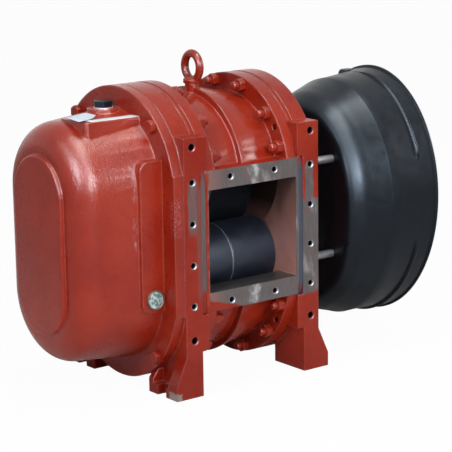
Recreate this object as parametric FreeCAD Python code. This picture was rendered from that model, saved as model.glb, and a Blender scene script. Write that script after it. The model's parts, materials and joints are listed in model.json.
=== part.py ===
import FreeCAD, Part
import math
import os

os.makedirs("parts", exist_ok=True)

# Rotary lobe pump with an oil-filled timing gear case on the left (-X) and a
# power take-off guard on the right (+X). Millimetres, +Z up, feet on Z = 0,
# origin under the middle of the pump chamber. The two shafts run along X.

# Main layout
shaft_distance = 148.0
port_centre_height = 225.0
body_radius = 142.0
chamber_radius = 100.0
duct_half_width = 80.3
duct_half_height = 75.0
duct_corner_radius = 2.0
running_fit = 0.05
seat_gap = 0.3

# Middle casing
casing_half_length = 85.5
casing_flange_thickness = 19.5
barrel_left_small_radius = body_radius - 24.0
barrel_left_large_radius = body_radius - 18.0
barrel_right_large_radius = body_radius - 14.0
barrel_right_small_radius = body_radius - 27.0
barrel_step_x = -6.0
port_bar_half_height = 103.0
port_bar_half_length = 82.7
lifting_boss_radius = 11.5
lifting_boss_rise = 5.1
jack_hole_radius = 5.0
jack_hole_angle = 33.3

# Wear plates between the middle casing and the side housings
wear_plate_thickness = 8.0
wear_plate_radius = body_radius - 0.5
chamber_half_length = 80.3
shaft_passage_radius = 34.0

# Side housings with the feet
gear_housing_thickness = 30.9
drive_housing_thickness = 27.9
side_bar_inner = 83.0
side_bar_outer = 123.0
side_bar_rise = 154.0
side_bar_drop = 157.0
side_bar_depth = 52.0
plate_window_half_height = 105.0
flat_ledge_half_height = 102.8
seal_bore_radius = 42.0
seal_bore_depth = 25.5
bearing_web = 5.6
gear_boss_radius = 62.0
drive_boss_radius = 60.0
gear_boss_length = 21.0
drive_boss_length = 24.0

# Feet
foot_inner_x = 94.9
foot_outer_x = 141.8
foot_inner_y = body_radius - 70.0
foot_slot_y = body_radius - 38.0
foot_slot_width = 20.0
foot_slot_centre_x = 133.0
foot_toe_height = 15.0
foot_web_thickness = 22.0
foot_gusset_thickness = 10.0
foot_flare_low_z = 21.0
foot_flare_high_z = 62.0
foot_gusset_high_z = 45.0
foot_column_overlap = 60.0

# Tapped holes in the port faces
tapped_m10_radius = 4.25
tapped_m12_radius = 5.1
countersink = 1.2
port_hole_depth = 22.0
side_hole_x = 108.4
side_hole_pitch = 60.0
corner_hole_z = 140.4
bar_hole_x = 40.3
bar_hole_z = 90.8

# Studs and nuts that hold the three castings together
stud_radius = 6.0
stud_circle_radius = body_radius - 10.0
stud_angles = (20.0, 44.0, 74.0, 103.0, 130.0, 157.0)
stud_hole_clearance = 0.4
stud_grip = 16.0
stud_tip = 9.0
nut_across_flats = 17.5
nut_height = 11.0
nut_spot_face_radius = 12.0

# Gear cover
gasket_thickness = 0.8
cover_flange_thickness = 15.6
bowl_radius_at_flange = body_radius - 31.0
bowl_radius_at_end = bowl_radius_at_flange - 9.5
bowl_straight_length = 93.0
bowl_end_corner = 38.0
bowl_length = 130.7
bowl_wall = 9.0
end_pad_radius = 61.0
end_pad_spread = 70.0
end_pad_height = 6.5
end_pad_fillet = 3.0
top_pad_drop = 7.0
top_pad_width = 63.0
top_pad_length = 91.0
top_pad_corner = 6.0
filler_boss_radius = 23.5
filler_boss_height = 8.0
filler_x = -160.0
side_pad_width = 37.5
side_pad_rise = 122.5
side_pad_drop = 95.5
side_pad_corner = 14.0
side_pad_y = body_radius - 28.0
cover_bolt_circle = body_radius - 9.0
cover_bolt_angles = (45.0, 135.0)
cover_bolt_grip = 14.0

# Oil filler plug, drain plug and sight glass
plug_across_flats = 25.0
plug_head_height = 9.0
plug_thread_radius = 10.4
plug_thread_length = 14.0
plug_washer_radius = 14.0
plug_washer_thickness = 1.6
sight_x = -157.0
sight_drop = 77.0
sight_ring_radius = 14.5
sight_glass_radius = 10.5
sight_ring_height = 3.0
sight_depth = 10.0

# Lifting eye bolt
eye_ring_radius = 19.5
eye_wire_radius = 6.0
eye_height = 49.5
eye_collar_radius = 14.0
eye_collar_height = 6.0
eye_shank_radius = 6.0
eye_shank_length = 22.0
eye_neck_radius = 7.0
eye_turn = -2.5

# Rotors
lobe_tip_radius = 99.5
lobe_gap = 0.2
rotor_end_gap = 0.3
rotor_phase = 28.0
rubber_thickness = 8.0
rotor_seam_half_width = 1.0
rotor_seam_inset = 0.8
root_curve_points = 11

# Shafts, keys and sleeves
shaft_radius = 30.0
journal_radius = 25.0
gear_seat_radius = 24.0
shaft_nut_thread_radius = 22.0
rotor_key_width = 14.0
rotor_key_height = 9.0
rotor_key_length = 120.0
gear_key_width = 12.0
gear_key_height = 8.0
idler_drive_end = 150.0

# Mechanical seals
seal_seat_width = 10.0
seal_seat_inner_radius = 31.5
seal_ring_radius = 39.5
seal_ring_width = 13.5
seal_start = 1.0

# Bearings
bearing_outer_radius = 45.0
bearing_width = 20.0
bearing_inner_ring_radius = 30.5
bearing_outer_ring_bore = 39.5
roller_count = 9
retainer_thickness = 8.0
retainer_opening_radius = 36.0

# Timing gears
gear_teeth = 24
gear_width = 32.0
gear_pressure_angle = 20.0
gear_backlash = 0.5
gear_spacer_radius = 31.0
gear_spacer_length = 14.0
gear_hub_recess = 6.0
gear_rim_radius = 58.0
gear_hub_radius = 36.0
shaft_nut_radius = 33.0
shaft_nut_width = 12.0

# Drive end cover, lip seal and splined stub
end_cover_thickness = 22.6
end_cover_cavity_radius = 36.0
end_cover_cavity_depth = 8.0
cover_screw_radius = 4.0
cover_screw_circle = 52.5
cover_screw_head_radius = 6.5
cover_screw_head_height = 8.0
cover_screw_grip = 16.0
cover_screw_angles = (25.0, 90.0, 155.0)
lip_seal_radius = 32.0
lip_seal_width = 8.0
stub_radius = 20.0
stub_shoulder_x = 200.0
stub_end_x = 292.0
spline_outer_radius = 17.45
spline_root_radius = 14.9
spline_width = 8.6
spline_count = 6
spline_end_chamfer = 1.5
spline_groove_radius = 14.7
spline_groove_width = 7.0
spline_groove_from_end = 38.0

# Guard. Each pair is a distance from the rim and the share of the rim's size there; the
# oval leans towards the front, more at the rim than at the base.
guard_rim_x = 353.0
guard_half_width = 161.0
guard_half_height = 200.5
guard_wall = 4.0
guard_rim_rise = 3.3
guard_base_rise = -4.0
guard_rim_lean = 3.4
guard_base_lean = 1.9
guard_base_x = 199.0
guard_base_corner = 9.0
guard_barrel = ((0.0, 1.0), (3.5, 1.0), (7.0, 0.984), (33.0, 0.966), (68.0, 0.950), (86.0, 0.947), (87.0, 0.943))
guard_bowl = ((98.0, 0.924), (118.0, 0.890), (136.0, 0.856), (146.0, 0.820))
guard_base_scale = 0.768
guard_shaft_opening = 50.0
guard_rib_from_rim = 33.0
guard_rib_width = 4.0
guard_rib_scale = 0.982
guard_rib_gap_half_height = 65.0
guard_rib_gap_rise = 9.0

# Bare steel studs that carry the guard, each with a thinner threaded end
guard_stud_radius = 6.2
guard_stud_margin = 38.6
guard_stud_z = 74.3
guard_stud_rise = 5.5
guard_stud_grip = 18.0
guard_thread_radius = 4.0
guard_nut_across_flats = 13.0
guard_nut_height = 6.5
guard_washer_radius = 8.0
guard_washer_thickness = 1.6
guard_stud_tip = 3.0

# Places that follow from the sizes above
upper_z = port_centre_height + shaft_distance / 2
lower_z = port_centre_height - shaft_distance / 2
plate_end = casing_half_length + wear_plate_thickness
gear_housing_end = plate_end + gear_housing_thickness
drive_housing_end = plate_end + drive_housing_thickness
bearing_start_gear = plate_end + seal_bore_depth + bearing_web
cover_face = -(gear_housing_end + gasket_thickness + cover_flange_thickness)
bowl_end = cover_face - bowl_length
end_cover_start = drive_housing_end + drive_boss_length
end_cover_face = end_cover_start + end_cover_thickness
flange_inner_face = casing_half_length - casing_flange_thickness
barrel_top = upper_z + barrel_right_large_radius
lifting_boss_top = barrel_top + lifting_boss_rise
side_bar_top = port_centre_height + side_bar_rise
side_bar_bottom = port_centre_height - side_bar_drop
top_pad_height = upper_z + bowl_radius_at_flange - top_pad_drop
sight_z = port_centre_height - sight_drop
guard_stud_y = guard_half_width * guard_base_scale - guard_stud_margin


def point(x, y, z):
    return FreeCAD.Vector(x, y, z)


def block(x_range, y_range, z_range):
    corner = point(x_range[0], y_range[0], z_range[0])
    length = x_range[1] - x_range[0]
    depth = y_range[1] - y_range[0]
    height = z_range[1] - z_range[0]
    return Part.makeBox(length, depth, height, corner)


def rod_x(radius, x_start, x_end, y, z):
    return Part.makeCylinder(radius, x_end - x_start, point(x_start, y, z), point(1, 0, 0))


def rod_y(radius, y_start, y_end, x, z):
    return Part.makeCylinder(radius, y_end - y_start, point(x, y_start, z), point(0, 1, 0))


def rod_z(radius, z_start, z_end, x, y):
    return Part.makeCylinder(radius, z_end - z_start, point(x, y, z_start), point(0, 0, 1))


def cone_y(radius_start, radius_end, y_start, y_end, x, z):
    return Part.makeCone(radius_start, radius_end, y_end - y_start, point(x, y_start, z), point(0, 1, 0))


def ring_x(outer, inner, x_start, x_end, y, z):
    return rod_x(outer, x_start, x_end, y, z).cut(rod_x(inner, x_start, x_end, y, z))


def hexagon(across_flats, start, direction, height):
    corner_radius = across_flats / math.sqrt(3.0)
    turns = [math.radians(60 * n) for n in range(7)]
    corners = [point(corner_radius * math.cos(turn), corner_radius * math.sin(turn), 0) for turn in turns]
    prism = Part.Face(Part.makePolygon(corners)).extrude(point(0, 0, height))
    prism.Placement = FreeCAD.Placement(start, FreeCAD.Rotation(point(0, 0, 1), direction))
    return prism


# A closed outline at one X: two half circles about the shafts and two straight sides.
def stadium_wire(radius, x, spread=shaft_distance / 2):
    top = port_centre_height + spread
    bottom = port_centre_height - spread
    upper_arc = Part.Arc(point(x, -radius, top), point(x, 0, top + radius), point(x, radius, top))
    rear_side = Part.LineSegment(point(x, radius, top), point(x, radius, bottom))
    lower_arc = Part.Arc(point(x, radius, bottom), point(x, 0, bottom - radius), point(x, -radius, bottom))
    front_side = Part.LineSegment(point(x, -radius, bottom), point(x, -radius, top))
    return Part.Wire([upper_arc.toShape(), rear_side.toShape(), lower_arc.toShape(), front_side.toShape()])


def stadium(radius, x_start, x_end, spread=shaft_distance / 2):
    return Part.Face(stadium_wire(radius, x_start, spread)).extrude(point(x_end - x_start, 0, 0))


def tapered_stadium(radius_start, x_start, radius_end, x_end):
    sections = [stadium_wire(radius_start, x_start), stadium_wire(radius_end, x_end)]
    return Part.makeLoft(sections, True, True)


def both_rods(radius, x_start, x_end):
    upper = rod_x(radius, x_start, x_end, 0, upper_z)
    lower = rod_x(radius, x_start, x_end, 0, lower_z)
    return upper.fuse(lower)


def fuse_all(shapes):
    return shapes[0].multiFuse(shapes[1:]).removeSplitter()


def round_edges(shape, radius, wanted):
    edges = [edge for edge in shape.Edges if wanted(edge)]
    return shape.makeFillet(radius, edges)


def mirrored_x(shape):
    return shape.mirror(point(0, 0, 0), point(1, 0, 0))


def save(name, shape):
    solids = shape.Solids
    result = solids[0] if len(solids) == 1 else Part.makeCompound(solids)
    result.exportStep("parts/" + name + ".step")
    print(name, len(solids), "solids", round(result.Volume / 1000.0, 1), "cm3", result.isValid())


# Stud places on a flange: the upper half about the upper shaft, mirrored below.
def stud_places():
    places = []
    for angle in stud_angles:
        y = -stud_circle_radius * math.cos(math.radians(angle))
        rise = stud_circle_radius * math.sin(math.radians(angle))
        places.append((y, upper_z + rise))
        places.append((y, lower_z - rise))
    return places


def cover_bolt_places():
    places = []
    for angle in cover_bolt_angles:
        y = -cover_bolt_circle * math.cos(math.radians(angle))
        rise = cover_bolt_circle * math.sin(math.radians(angle))
        places.append((y, upper_z + rise))
        places.append((y, lower_z - rise))
    return places


def tapped_hole(radius, x, z, side):
    face = side * body_radius
    inner = face - side * port_hole_depth
    drill = rod_y(radius, min(face, inner), max(face, inner), x, z)
    mouth = face - side * countersink
    wide = radius + countersink
    if side < 0:
        sink = cone_y(wide, radius, face, mouth, x, z)
    else:
        sink = cone_y(radius, wide, mouth, face, x, z)
    return drill.fuse(sink)


def chamber(half_length):
    return both_rods(chamber_radius, -half_length, half_length)


def duct():
    low = port_centre_height - duct_half_height
    high = port_centre_height + duct_half_height
    reach = body_radius + 1.0
    passage = block((-duct_half_width, duct_half_width), (-reach, reach), (low, high))
    return round_edges(passage, duct_corner_radius, lambda edge: edge.Length > 2 * body_radius)


def pump_casing():
    left_flange = stadium(body_radius, -casing_half_length, -flange_inner_face)
    right_flange = stadium(body_radius, flange_inner_face, casing_half_length)
    left_barrel = tapered_stadium(barrel_left_large_radius, -flange_inner_face,
                                  barrel_left_small_radius, barrel_step_x)
    right_barrel = tapered_stadium(barrel_right_large_radius, barrel_step_x,
                                   barrel_right_small_radius, flange_inner_face)
    bars = block((-port_bar_half_length, port_bar_half_length), (-body_radius, body_radius),
                 (port_centre_height - port_bar_half_height, port_centre_height + port_bar_half_height))
    boss = rod_z(lifting_boss_radius, barrel_top - barrel_right_large_radius / 4, lifting_boss_top, 0, 0)
    casing = fuse_all([left_flange, right_flange, left_barrel, right_barrel, bars, boss])
    casing = casing.cut(chamber(casing_half_length))
    casing = casing.cut(duct())
    tools = []
    for y, z in stud_places():
        hole = stud_radius + stud_hole_clearance
        tools.append(rod_x(hole, -casing_half_length, -flange_inner_face, y, z))
        tools.append(rod_x(hole, flange_inner_face, casing_half_length, y, z))
        room = nut_height + stud_tip + seat_gap
        tools.append(rod_x(nut_spot_face_radius, -flange_inner_face, room - flange_inner_face, y, z))
        tools.append(rod_x(nut_spot_face_radius, flange_inner_face - room, flange_inner_face, y, z))
    for side in (-1, 1):
        for x in (-bar_hole_x, bar_hole_x):
            for rise in (-bar_hole_z, bar_hole_z):
                tools.append(tapped_hole(tapped_m10_radius, x, port_centre_height + rise, side))
    jack_y = stud_circle_radius * math.cos(math.radians(jack_hole_angle))
    jack_rise = stud_circle_radius * math.sin(math.radians(jack_hole_angle))
    for y in (-jack_y, jack_y):
        for z in (upper_z + jack_rise, lower_z - jack_rise):
            tools.append(rod_x(jack_hole_radius, flange_inner_face, casing_half_length, y, z))
    shank_hole = eye_shank_radius + running_fit
    tools.append(rod_z(shank_hole, lifting_boss_top - eye_shank_length - 1.0, lifting_boss_top, 0, 0))
    return casing.cut(tools)


# Plate with a spigot in the casing bore; it closes one end of the pump chamber.
def wear_plate(side):
    plate = stadium(wear_plate_radius, casing_half_length, plate_end)
    spigot = both_rods(chamber_radius - running_fit, chamber_half_length, casing_half_length)
    plate = plate.fuse(spigot)
    plate = plate.cut(both_rods(shaft_passage_radius, chamber_half_length, plate_end))
    tools = [rod_x(stud_radius + stud_hole_clearance, casing_half_length, plate_end, y, z)
             for y, z in stud_places()]
    plate = plate.cut(tools)
    if side < 0:
        plate = mirrored_x(plate)
    return plate


# One foot in the corner at +X and the given Y side: column, flared web, toe, gusset, slot.
def foot(side_y, column_outer, face):
    def span(near, far):
        return (near, far) if side_y > 0 else (-far, -near)

    def flare(top_z, thickness, y_near):
        outline = Part.makePolygon([
            point(foot_inner_x, 0, 0),
            point(foot_outer_x, 0, 0),
            point(foot_outer_x, 0, foot_flare_low_z),
            point(column_outer, 0, top_z),
            point(foot_inner_x, 0, top_z),
            point(foot_inner_x, 0, 0),
        ])
        near, far = span(y_near, y_near + thickness)
        plate = Part.Face(outline).extrude(point(0, far - near, 0))
        plate.translate(point(0, near, 0))
        return plate

    column = block((foot_inner_x, column_outer), span(foot_inner_y, body_radius),
                   (0, side_bar_bottom + foot_column_overlap))
    toe = block((foot_inner_x, foot_outer_x), span(foot_inner_y, body_radius), (0, foot_toe_height))
    web = flare(foot_flare_high_z, foot_web_thickness, body_radius - foot_web_thickness)
    gusset = flare(foot_gusset_high_z, foot_gusset_thickness, foot_inner_y)
    shape = fuse_all([column, toe, web, gusset])
    half = foot_slot_width / 2
    slot_y = side_y * foot_slot_y
    slot_end = rod_z(half, 0, foot_toe_height, foot_slot_centre_x, slot_y)
    slot_mouth = block((foot_slot_centre_x, foot_outer_x), (slot_y - half, slot_y + half),
                       (0, foot_toe_height))
    # room for what is bolted to the face of the housing
    beside = stadium(body_radius + seat_gap, face, foot_outer_x + 1.0)
    return shape.cut([slot_end, slot_mouth, beside])


# Side housing drawn for the +X end. Both have port bars, feet and bores for seals.
def side_housing(thickness, boss_radius, boss_length, bearing_start):
    face = plate_end + thickness
    disc = stadium(body_radius, plate_end, face)
    ledge = block((plate_end, face), (-body_radius, body_radius),
                  (port_centre_height - flat_ledge_half_height, port_centre_height + flat_ledge_half_height))
    boss = stadium(boss_radius, face, face + boss_length)
    shapes = [disc, ledge, boss]
    for side_y in (-1, 1):
        near = side_y * (body_radius - side_bar_depth)
        far = side_y * body_radius
        bar = block((side_bar_inner, side_bar_outer), (min(near, far), max(near, far)),
                    (side_bar_bottom, side_bar_top))
        shapes.append(bar)
        shapes.append(foot(side_y, side_bar_outer, face))
    housing = fuse_all(shapes)
    # room for the middle casing, and a window that shows the edge of the wear plate
    housing = housing.cut(stadium(body_radius + seat_gap, 0, casing_half_length))
    housing = housing.cut(stadium(wear_plate_radius + seat_gap, 0, plate_end))
    window = block((0, plate_end), (-body_radius, body_radius),
                   (port_centre_height - plate_window_half_height, port_centre_height + plate_window_half_height))
    housing = housing.cut(window)
    tools = [both_rods(seal_bore_radius, plate_end, plate_end + seal_bore_depth),
             both_rods(shaft_passage_radius, plate_end, face + boss_length),
             both_rods(bearing_outer_radius + running_fit, bearing_start, face + boss_length)]
    for y, z in stud_places():
        tools.append(rod_x(stud_radius + running_fit, plate_end, plate_end + stud_grip, y, z))
    for side in (-1, 1):
        for rise in (-1.5, -0.5, 0.5, 1.5):
            z = port_centre_height + rise * side_hole_pitch
            tools.append(tapped_hole(tapped_m10_radius, side_hole_x, z, side))
        for rise in (-corner_hole_z, corner_hole_z):
            tools.append(tapped_hole(tapped_m12_radius, side_hole_x, port_centre_height + rise, side))
    return housing.cut(tools)


def gear_side_housing():
    housing = side_housing(gear_housing_thickness, gear_boss_radius, gear_boss_length, bearing_start_gear)
    housing = mirrored_x(housing)
    tools = [rod_x(stud_radius + running_fit, -gear_housing_end, -gear_housing_end + cover_bolt_grip, y, z)
             for y, z in cover_bolt_places()]
    return housing.cut(tools)


def drive_side_housing():
    housing = side_housing(drive_housing_thickness, drive_boss_radius, drive_boss_length, bearing_start_gear)
    tools = []
    for y, z in guard_stud_places():
        tools.append(rod_x(guard_stud_radius + running_fit, drive_housing_end - guard_stud_grip,
                           side_bar_outer, y, z))
    for y, z in cover_screw_places():
        tools.append(rod_x(cover_screw_radius + running_fit, end_cover_start - cover_screw_grip,
                           end_cover_start, y, z))
    return housing.cut(tools)


def guard_stud_places():
    places = []
    for y in (-guard_stud_y, guard_stud_y):
        for rise in (-guard_stud_z, guard_stud_z):
            places.append((y, port_centre_height + guard_stud_rise + rise))
    return places


def cover_screw_places():
    places = []
    for angle in cover_screw_angles:
        y = cover_screw_circle * math.cos(math.radians(angle))
        rise = cover_screw_circle * math.sin(math.radians(angle))
        places.append((y, upper_z + rise))
        places.append((y, lower_z - rise))
    return places


# Outer skin of the bowl: tapered oval, rounded at the closed end.
def bowl(radius_at_flange, radius_at_end, x_open, x_end, corner):
    x_turn = cover_face - bowl_straight_length
    slope = (radius_at_flange - radius_at_end) / bowl_straight_length
    far_radius = radius_at_end - slope * (x_turn - x_end)
    near_radius = radius_at_flange + slope * (x_open - cover_face)
    shape = tapered_stadium(near_radius, x_open, far_radius, x_end)

    def at_end(edge):
        return abs(edge.BoundBox.XMax - x_end) < 0.01

    return round_edges(shape, corner, at_end)


def gear_cover():
    flange_back = -(gear_housing_end + gasket_thickness)
    flange = stadium(body_radius, cover_face, flange_back)
    ledge = block((cover_face, flange_back), (-body_radius, body_radius),
                  (port_centre_height - flat_ledge_half_height, port_centre_height + flat_ledge_half_height))
    skin = bowl(bowl_radius_at_flange, bowl_radius_at_end, cover_face, bowl_end, bowl_end_corner)
    end_pad = stadium(end_pad_radius, bowl_end - end_pad_height, bowl_end, end_pad_spread)
    end_pad = round_edges(end_pad, end_pad_fillet, lambda edge: edge.BoundBox.XMax < bowl_end - 1.0)
    pad_left = cover_face - top_pad_length
    top_pad = block((pad_left, cover_face), (-top_pad_width, 0), (upper_z, top_pad_height))

    def at_front_left(edge):
        box = edge.BoundBox
        return box.XMax < pad_left + 0.01 and box.YMax < 0.01 - top_pad_width and box.ZLength > 10

    top_pad = round_edges(top_pad, top_pad_corner, at_front_left)
    side_pad_left = cover_face - side_pad_width
    side_pad = block((side_pad_left, cover_face), (-side_pad_y, side_pad_y),
                     (port_centre_height - side_pad_drop, port_centre_height + side_pad_rise))

    def at_far_side(edge):
        box = edge.BoundBox
        return box.XMax < side_pad_left + 0.01 and box.YLength > side_pad_y

    side_pad = round_edges(side_pad, side_pad_corner, at_far_side)
    filler_boss = rod_z(filler_boss_radius, upper_z, top_pad_height + filler_boss_height, filler_x, 0)
    cover = fuse_all([flange, ledge, skin, end_pad, top_pad, side_pad, filler_boss])
    cavity = bowl(bowl_radius_at_flange - bowl_wall, bowl_radius_at_end - bowl_wall,
                  flange_back, bowl_end + bowl_wall, bowl_end_corner - bowl_wall)
    cover = cover.cut(cavity)
    tools = [rod_x(stud_radius + stud_hole_clearance, cover_face, flange_back, y, z)
             for y, z in cover_bolt_places()]
    thread = plug_thread_radius + running_fit
    tools.append(rod_z(thread, upper_z, top_pad_height + filler_boss_height, filler_x, 0))
    tools.append(rod_y(thread, 0, side_pad_y, sight_x, sight_z))
    tools.append(rod_y(sight_glass_radius + running_fit, -side_pad_y, 0, sight_x, sight_z))
    return cover.cut(tools)


def cover_gasket():
    start = -(gear_housing_end + gasket_thickness)
    sheet = stadium(body_radius, start, -gear_housing_end)
    ledge = block((start, -gear_housing_end), (-body_radius, body_radius),
                  (port_centre_height - flat_ledge_half_height, port_centre_height + flat_ledge_half_height))
    sheet = sheet.fuse(ledge)
    sheet = sheet.cut(stadium(bowl_radius_at_flange - bowl_wall, start, -gear_housing_end))
    tools = [rod_x(stud_radius + stud_hole_clearance, start, -gear_housing_end, y, z)
             for y, z in cover_bolt_places()]
    return sheet.cut(tools).removeSplitter()


def cover_bolts():
    bolts = []
    for y, z in cover_bolt_places():
        shank = rod_x(stud_radius, cover_face, -gear_housing_end + cover_bolt_grip, y, z)
        head = hexagon(nut_across_flats, point(cover_face, y, z), point(-1, 0, 0), nut_height - 2.0)
        bolts.append(shank.fuse(head))
    return Part.makeCompound(bolts)


def hex_plug(across_flats, seat, direction):
    head = hexagon(across_flats, seat, direction, plug_head_height)
    thread = Part.makeCylinder(plug_thread_radius, plug_thread_length, seat, direction * -1)
    return head.fuse(thread)


def plug_washer(seat, direction):
    outer = Part.makeCylinder(plug_washer_radius, plug_washer_thickness, seat, direction)
    hole = Part.makeCylinder(plug_thread_radius + running_fit, plug_washer_thickness, seat, direction)
    return outer.cut(hole)


def sight_glass():
    back = -side_pad_y + sight_depth
    return rod_y(sight_glass_radius, -side_pad_y - sight_ring_height + 1.0, back, sight_x, sight_z)


def sight_ring():
    start = -side_pad_y - sight_ring_height
    ring = rod_y(sight_ring_radius, start, -side_pad_y, sight_x, sight_z)
    return ring.cut(rod_y(sight_glass_radius + running_fit, start, -side_pad_y, sight_x, sight_z))


def eye_bolt():
    centre_z = lifting_boss_top + eye_height - eye_ring_radius - eye_wire_radius
    ring = Part.makeTorus(eye_ring_radius, eye_wire_radius, point(0, 0, centre_z), point(1, 0, 0))
    reach = eye_ring_radius + eye_wire_radius
    ring = ring.cut(block((-reach, reach), (-reach, reach), (lifting_boss_top - reach, lifting_boss_top)))
    collar = rod_z(eye_collar_radius, lifting_boss_top, lifting_boss_top + eye_collar_height, 0, 0)
    neck_top = centre_z - eye_ring_radius
    neck = rod_z(eye_neck_radius, lifting_boss_top, neck_top, 0, 0)
    shank = rod_z(eye_shank_radius, lifting_boss_top - eye_shank_length, lifting_boss_top, 0, 0)
    bolt = fuse_all([collar, neck, shank, ring])
    bolt.rotate(point(0, 0, 0), point(0, 0, 1), eye_turn)
    return bolt


def flange_studs(side):
    start = flange_inner_face - nut_height - stud_tip
    studs = [rod_x(stud_radius, start, plate_end + stud_grip, y, z) for y, z in stud_places()]
    group = Part.makeCompound(studs)
    return group if side > 0 else mirrored_x(group)


def flange_nuts(side):
    nuts = []
    for y, z in stud_places():
        nut = hexagon(nut_across_flats, point(flange_inner_face, y, z), point(-1, 0, 0), nut_height)
        bore = rod_x(stud_radius + running_fit, flange_inner_face - nut_height, flange_inner_face, y, z)
        nuts.append(nut.cut(bore))
    group = Part.makeCompound(nuts)
    return group if side > 0 else mirrored_x(group)


def guard_studs():
    start = drive_housing_end - guard_stud_grip
    tip = guard_base_x + guard_wall + guard_washer_thickness + guard_nut_height + guard_stud_tip
    studs = []
    for y, z in guard_stud_places():
        body = rod_x(guard_stud_radius, start, guard_base_x, y, z)
        studs.append(body.fuse(rod_x(guard_thread_radius, guard_base_x, tip, y, z)))
    return Part.makeCompound(studs)


# Two-lobe outline. A lobe is one circle; a root is the path that the mating lobe's
# circle rolls out. inset moves the whole outline inwards by an even distance.
def rotor_wire(x, inset, axis_angle, centre_z):
    pitch = shaft_distance / 2
    quarter = math.radians(45)
    lobe_offset = (lobe_tip_radius ** 2 - pitch ** 2) / (2 * (lobe_tip_radius - pitch * math.cos(quarter)))
    lobe_radius = lobe_tip_radius - lobe_offset

    def place(u, v, turn):
        angle = math.radians(axis_angle + turn)
        y = u * math.cos(angle) - v * math.sin(angle)
        z = u * math.sin(angle) + v * math.cos(angle)
        return point(x, y, centre_z + z)

    def root_point(theta):
        mate_u = shaft_distance - lobe_offset * math.cos(theta)
        mate_v = lobe_offset * math.sin(theta)
        reach = math.hypot(pitch - mate_u, mate_v)
        u = mate_u + (lobe_radius + inset) * (pitch - mate_u) / reach
        v = mate_v - (lobe_radius + inset) * mate_v / reach
        return (u * math.cos(theta) + v * math.sin(theta), v * math.cos(theta) - u * math.sin(theta))

    end_u = pitch * math.cos(quarter)
    end_v = pitch * math.sin(quarter)
    shrink = (lobe_radius - inset) / lobe_radius
    end_u = lobe_offset + (end_u - lobe_offset) * shrink
    end_v = end_v * shrink
    edges = []
    for turn in (0, 180):
        tip = place(lobe_tip_radius - inset, 0, turn)
        lobe = Part.Arc(place(end_u, -end_v, turn), tip, place(end_u, end_v, turn))
        edges.append(lobe.toShape())
        thetas = [quarter - 2 * quarter * n / (root_curve_points - 1) for n in range(root_curve_points)]
        roots = [place(*root_point(theta), turn + 90) for theta in thetas]
        roots[0] = place(end_u, end_v, turn)
        roots[-1] = place(end_u, -end_v, turn + 180)
        curve = Part.BSplineCurve()
        curve.interpolate(roots)
        edges.append(curve.toShape())
    return Part.Wire(edges)


def rotor_prism(x_start, x_end, inset, axis_angle, centre_z):
    return Part.Face(rotor_wire(x_start, inset, axis_angle, centre_z)).extrude(point(x_end - x_start, 0, 0))


def rotor_half_length():
    return chamber_half_length - rotor_end_gap


def rotor_core(axis_angle, centre_z):
    half = rotor_half_length()
    core = rotor_prism(-half, half, lobe_gap + rubber_thickness, axis_angle, centre_z)
    seam = rotor_prism(-rotor_seam_half_width, rotor_seam_half_width,
                       lobe_gap + rotor_seam_inset, axis_angle, centre_z)
    core = core.fuse(seam)
    core = core.cut(rod_x(shaft_radius + running_fit, -half, half, 0, centre_z))
    return core.cut(rotor_key(centre_z))


def rotor_rubber(side, axis_angle, centre_z):
    start = rotor_seam_half_width if side > 0 else -rotor_half_length()
    end = rotor_half_length() if side > 0 else -rotor_seam_half_width
    skin = rotor_prism(start, end, lobe_gap, axis_angle, centre_z)
    return skin.cut(rotor_prism(start, end, lobe_gap + rubber_thickness, axis_angle, centre_z))


def rotor_key(centre_z):
    half = rotor_key_width / 2
    low = shaft_radius - rotor_key_height * 0.6
    return block((-rotor_key_length / 2, rotor_key_length / 2), (-half, half),
                 (centre_z + low, centre_z + low + rotor_key_height))


gear_start = bearing_start_gear + bearing_width + gear_spacer_length
gear_stop = gear_start + gear_width


def gear_key(centre_z):
    half = gear_key_width / 2
    low = gear_seat_radius - gear_key_height * 0.6
    return block((-gear_stop + 3.0, -gear_start - 3.0), (-half, half),
                 (centre_z + low, centre_z + low + gear_key_height))


# Involute spur gear whose teeth match at the running centre distance.
def timing_gear(centre_z, first_tooth_angle):
    pitch = shaft_distance / 2
    module = shaft_distance / gear_teeth
    base = pitch * math.cos(math.radians(gear_pressure_angle))
    outer = pitch + module * 0.95
    root = pitch - module * 1.2
    half_tooth = math.pi / (2 * gear_teeth) - gear_backlash / (4 * pitch)
    involute_at_pitch = math.tan(math.radians(gear_pressure_angle)) - math.radians(gear_pressure_angle)

    def flank_angle(radius):
        lean = math.acos(min(1.0, base / radius))
        return half_tooth + involute_at_pitch - (math.tan(lean) - lean)

    def place(radius, angle):
        return point(-gear_stop, radius * math.cos(angle), centre_z + radius * math.sin(angle))

    radii = [base + (outer - base) * n / 3 for n in range(4)]
    corners = []
    for tooth in range(gear_teeth):
        centre = math.radians(first_tooth_angle) + 2 * math.pi * tooth / gear_teeth
        corners.append(place(root, centre - flank_angle(base)))
        corners.extend(place(radius, centre - flank_angle(radius)) for radius in radii)
        corners.extend(place(radius, centre + flank_angle(radius)) for radius in reversed(radii))
        corners.append(place(root, centre + flank_angle(base)))
    corners.append(corners[0])
    gear = Part.Face(Part.makePolygon(corners)).extrude(point(gear_width, 0, 0))
    for start in (-gear_stop, -gear_start - gear_hub_recess):
        recess = ring_x(gear_rim_radius, gear_hub_radius, start, start + gear_hub_recess, 0, centre_z)
        gear = gear.cut(recess)
    gear = gear.cut(rod_x(gear_seat_radius + running_fit, -gear_stop, -gear_start, 0, centre_z))
    return gear.cut(gear_key(centre_z))


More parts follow.
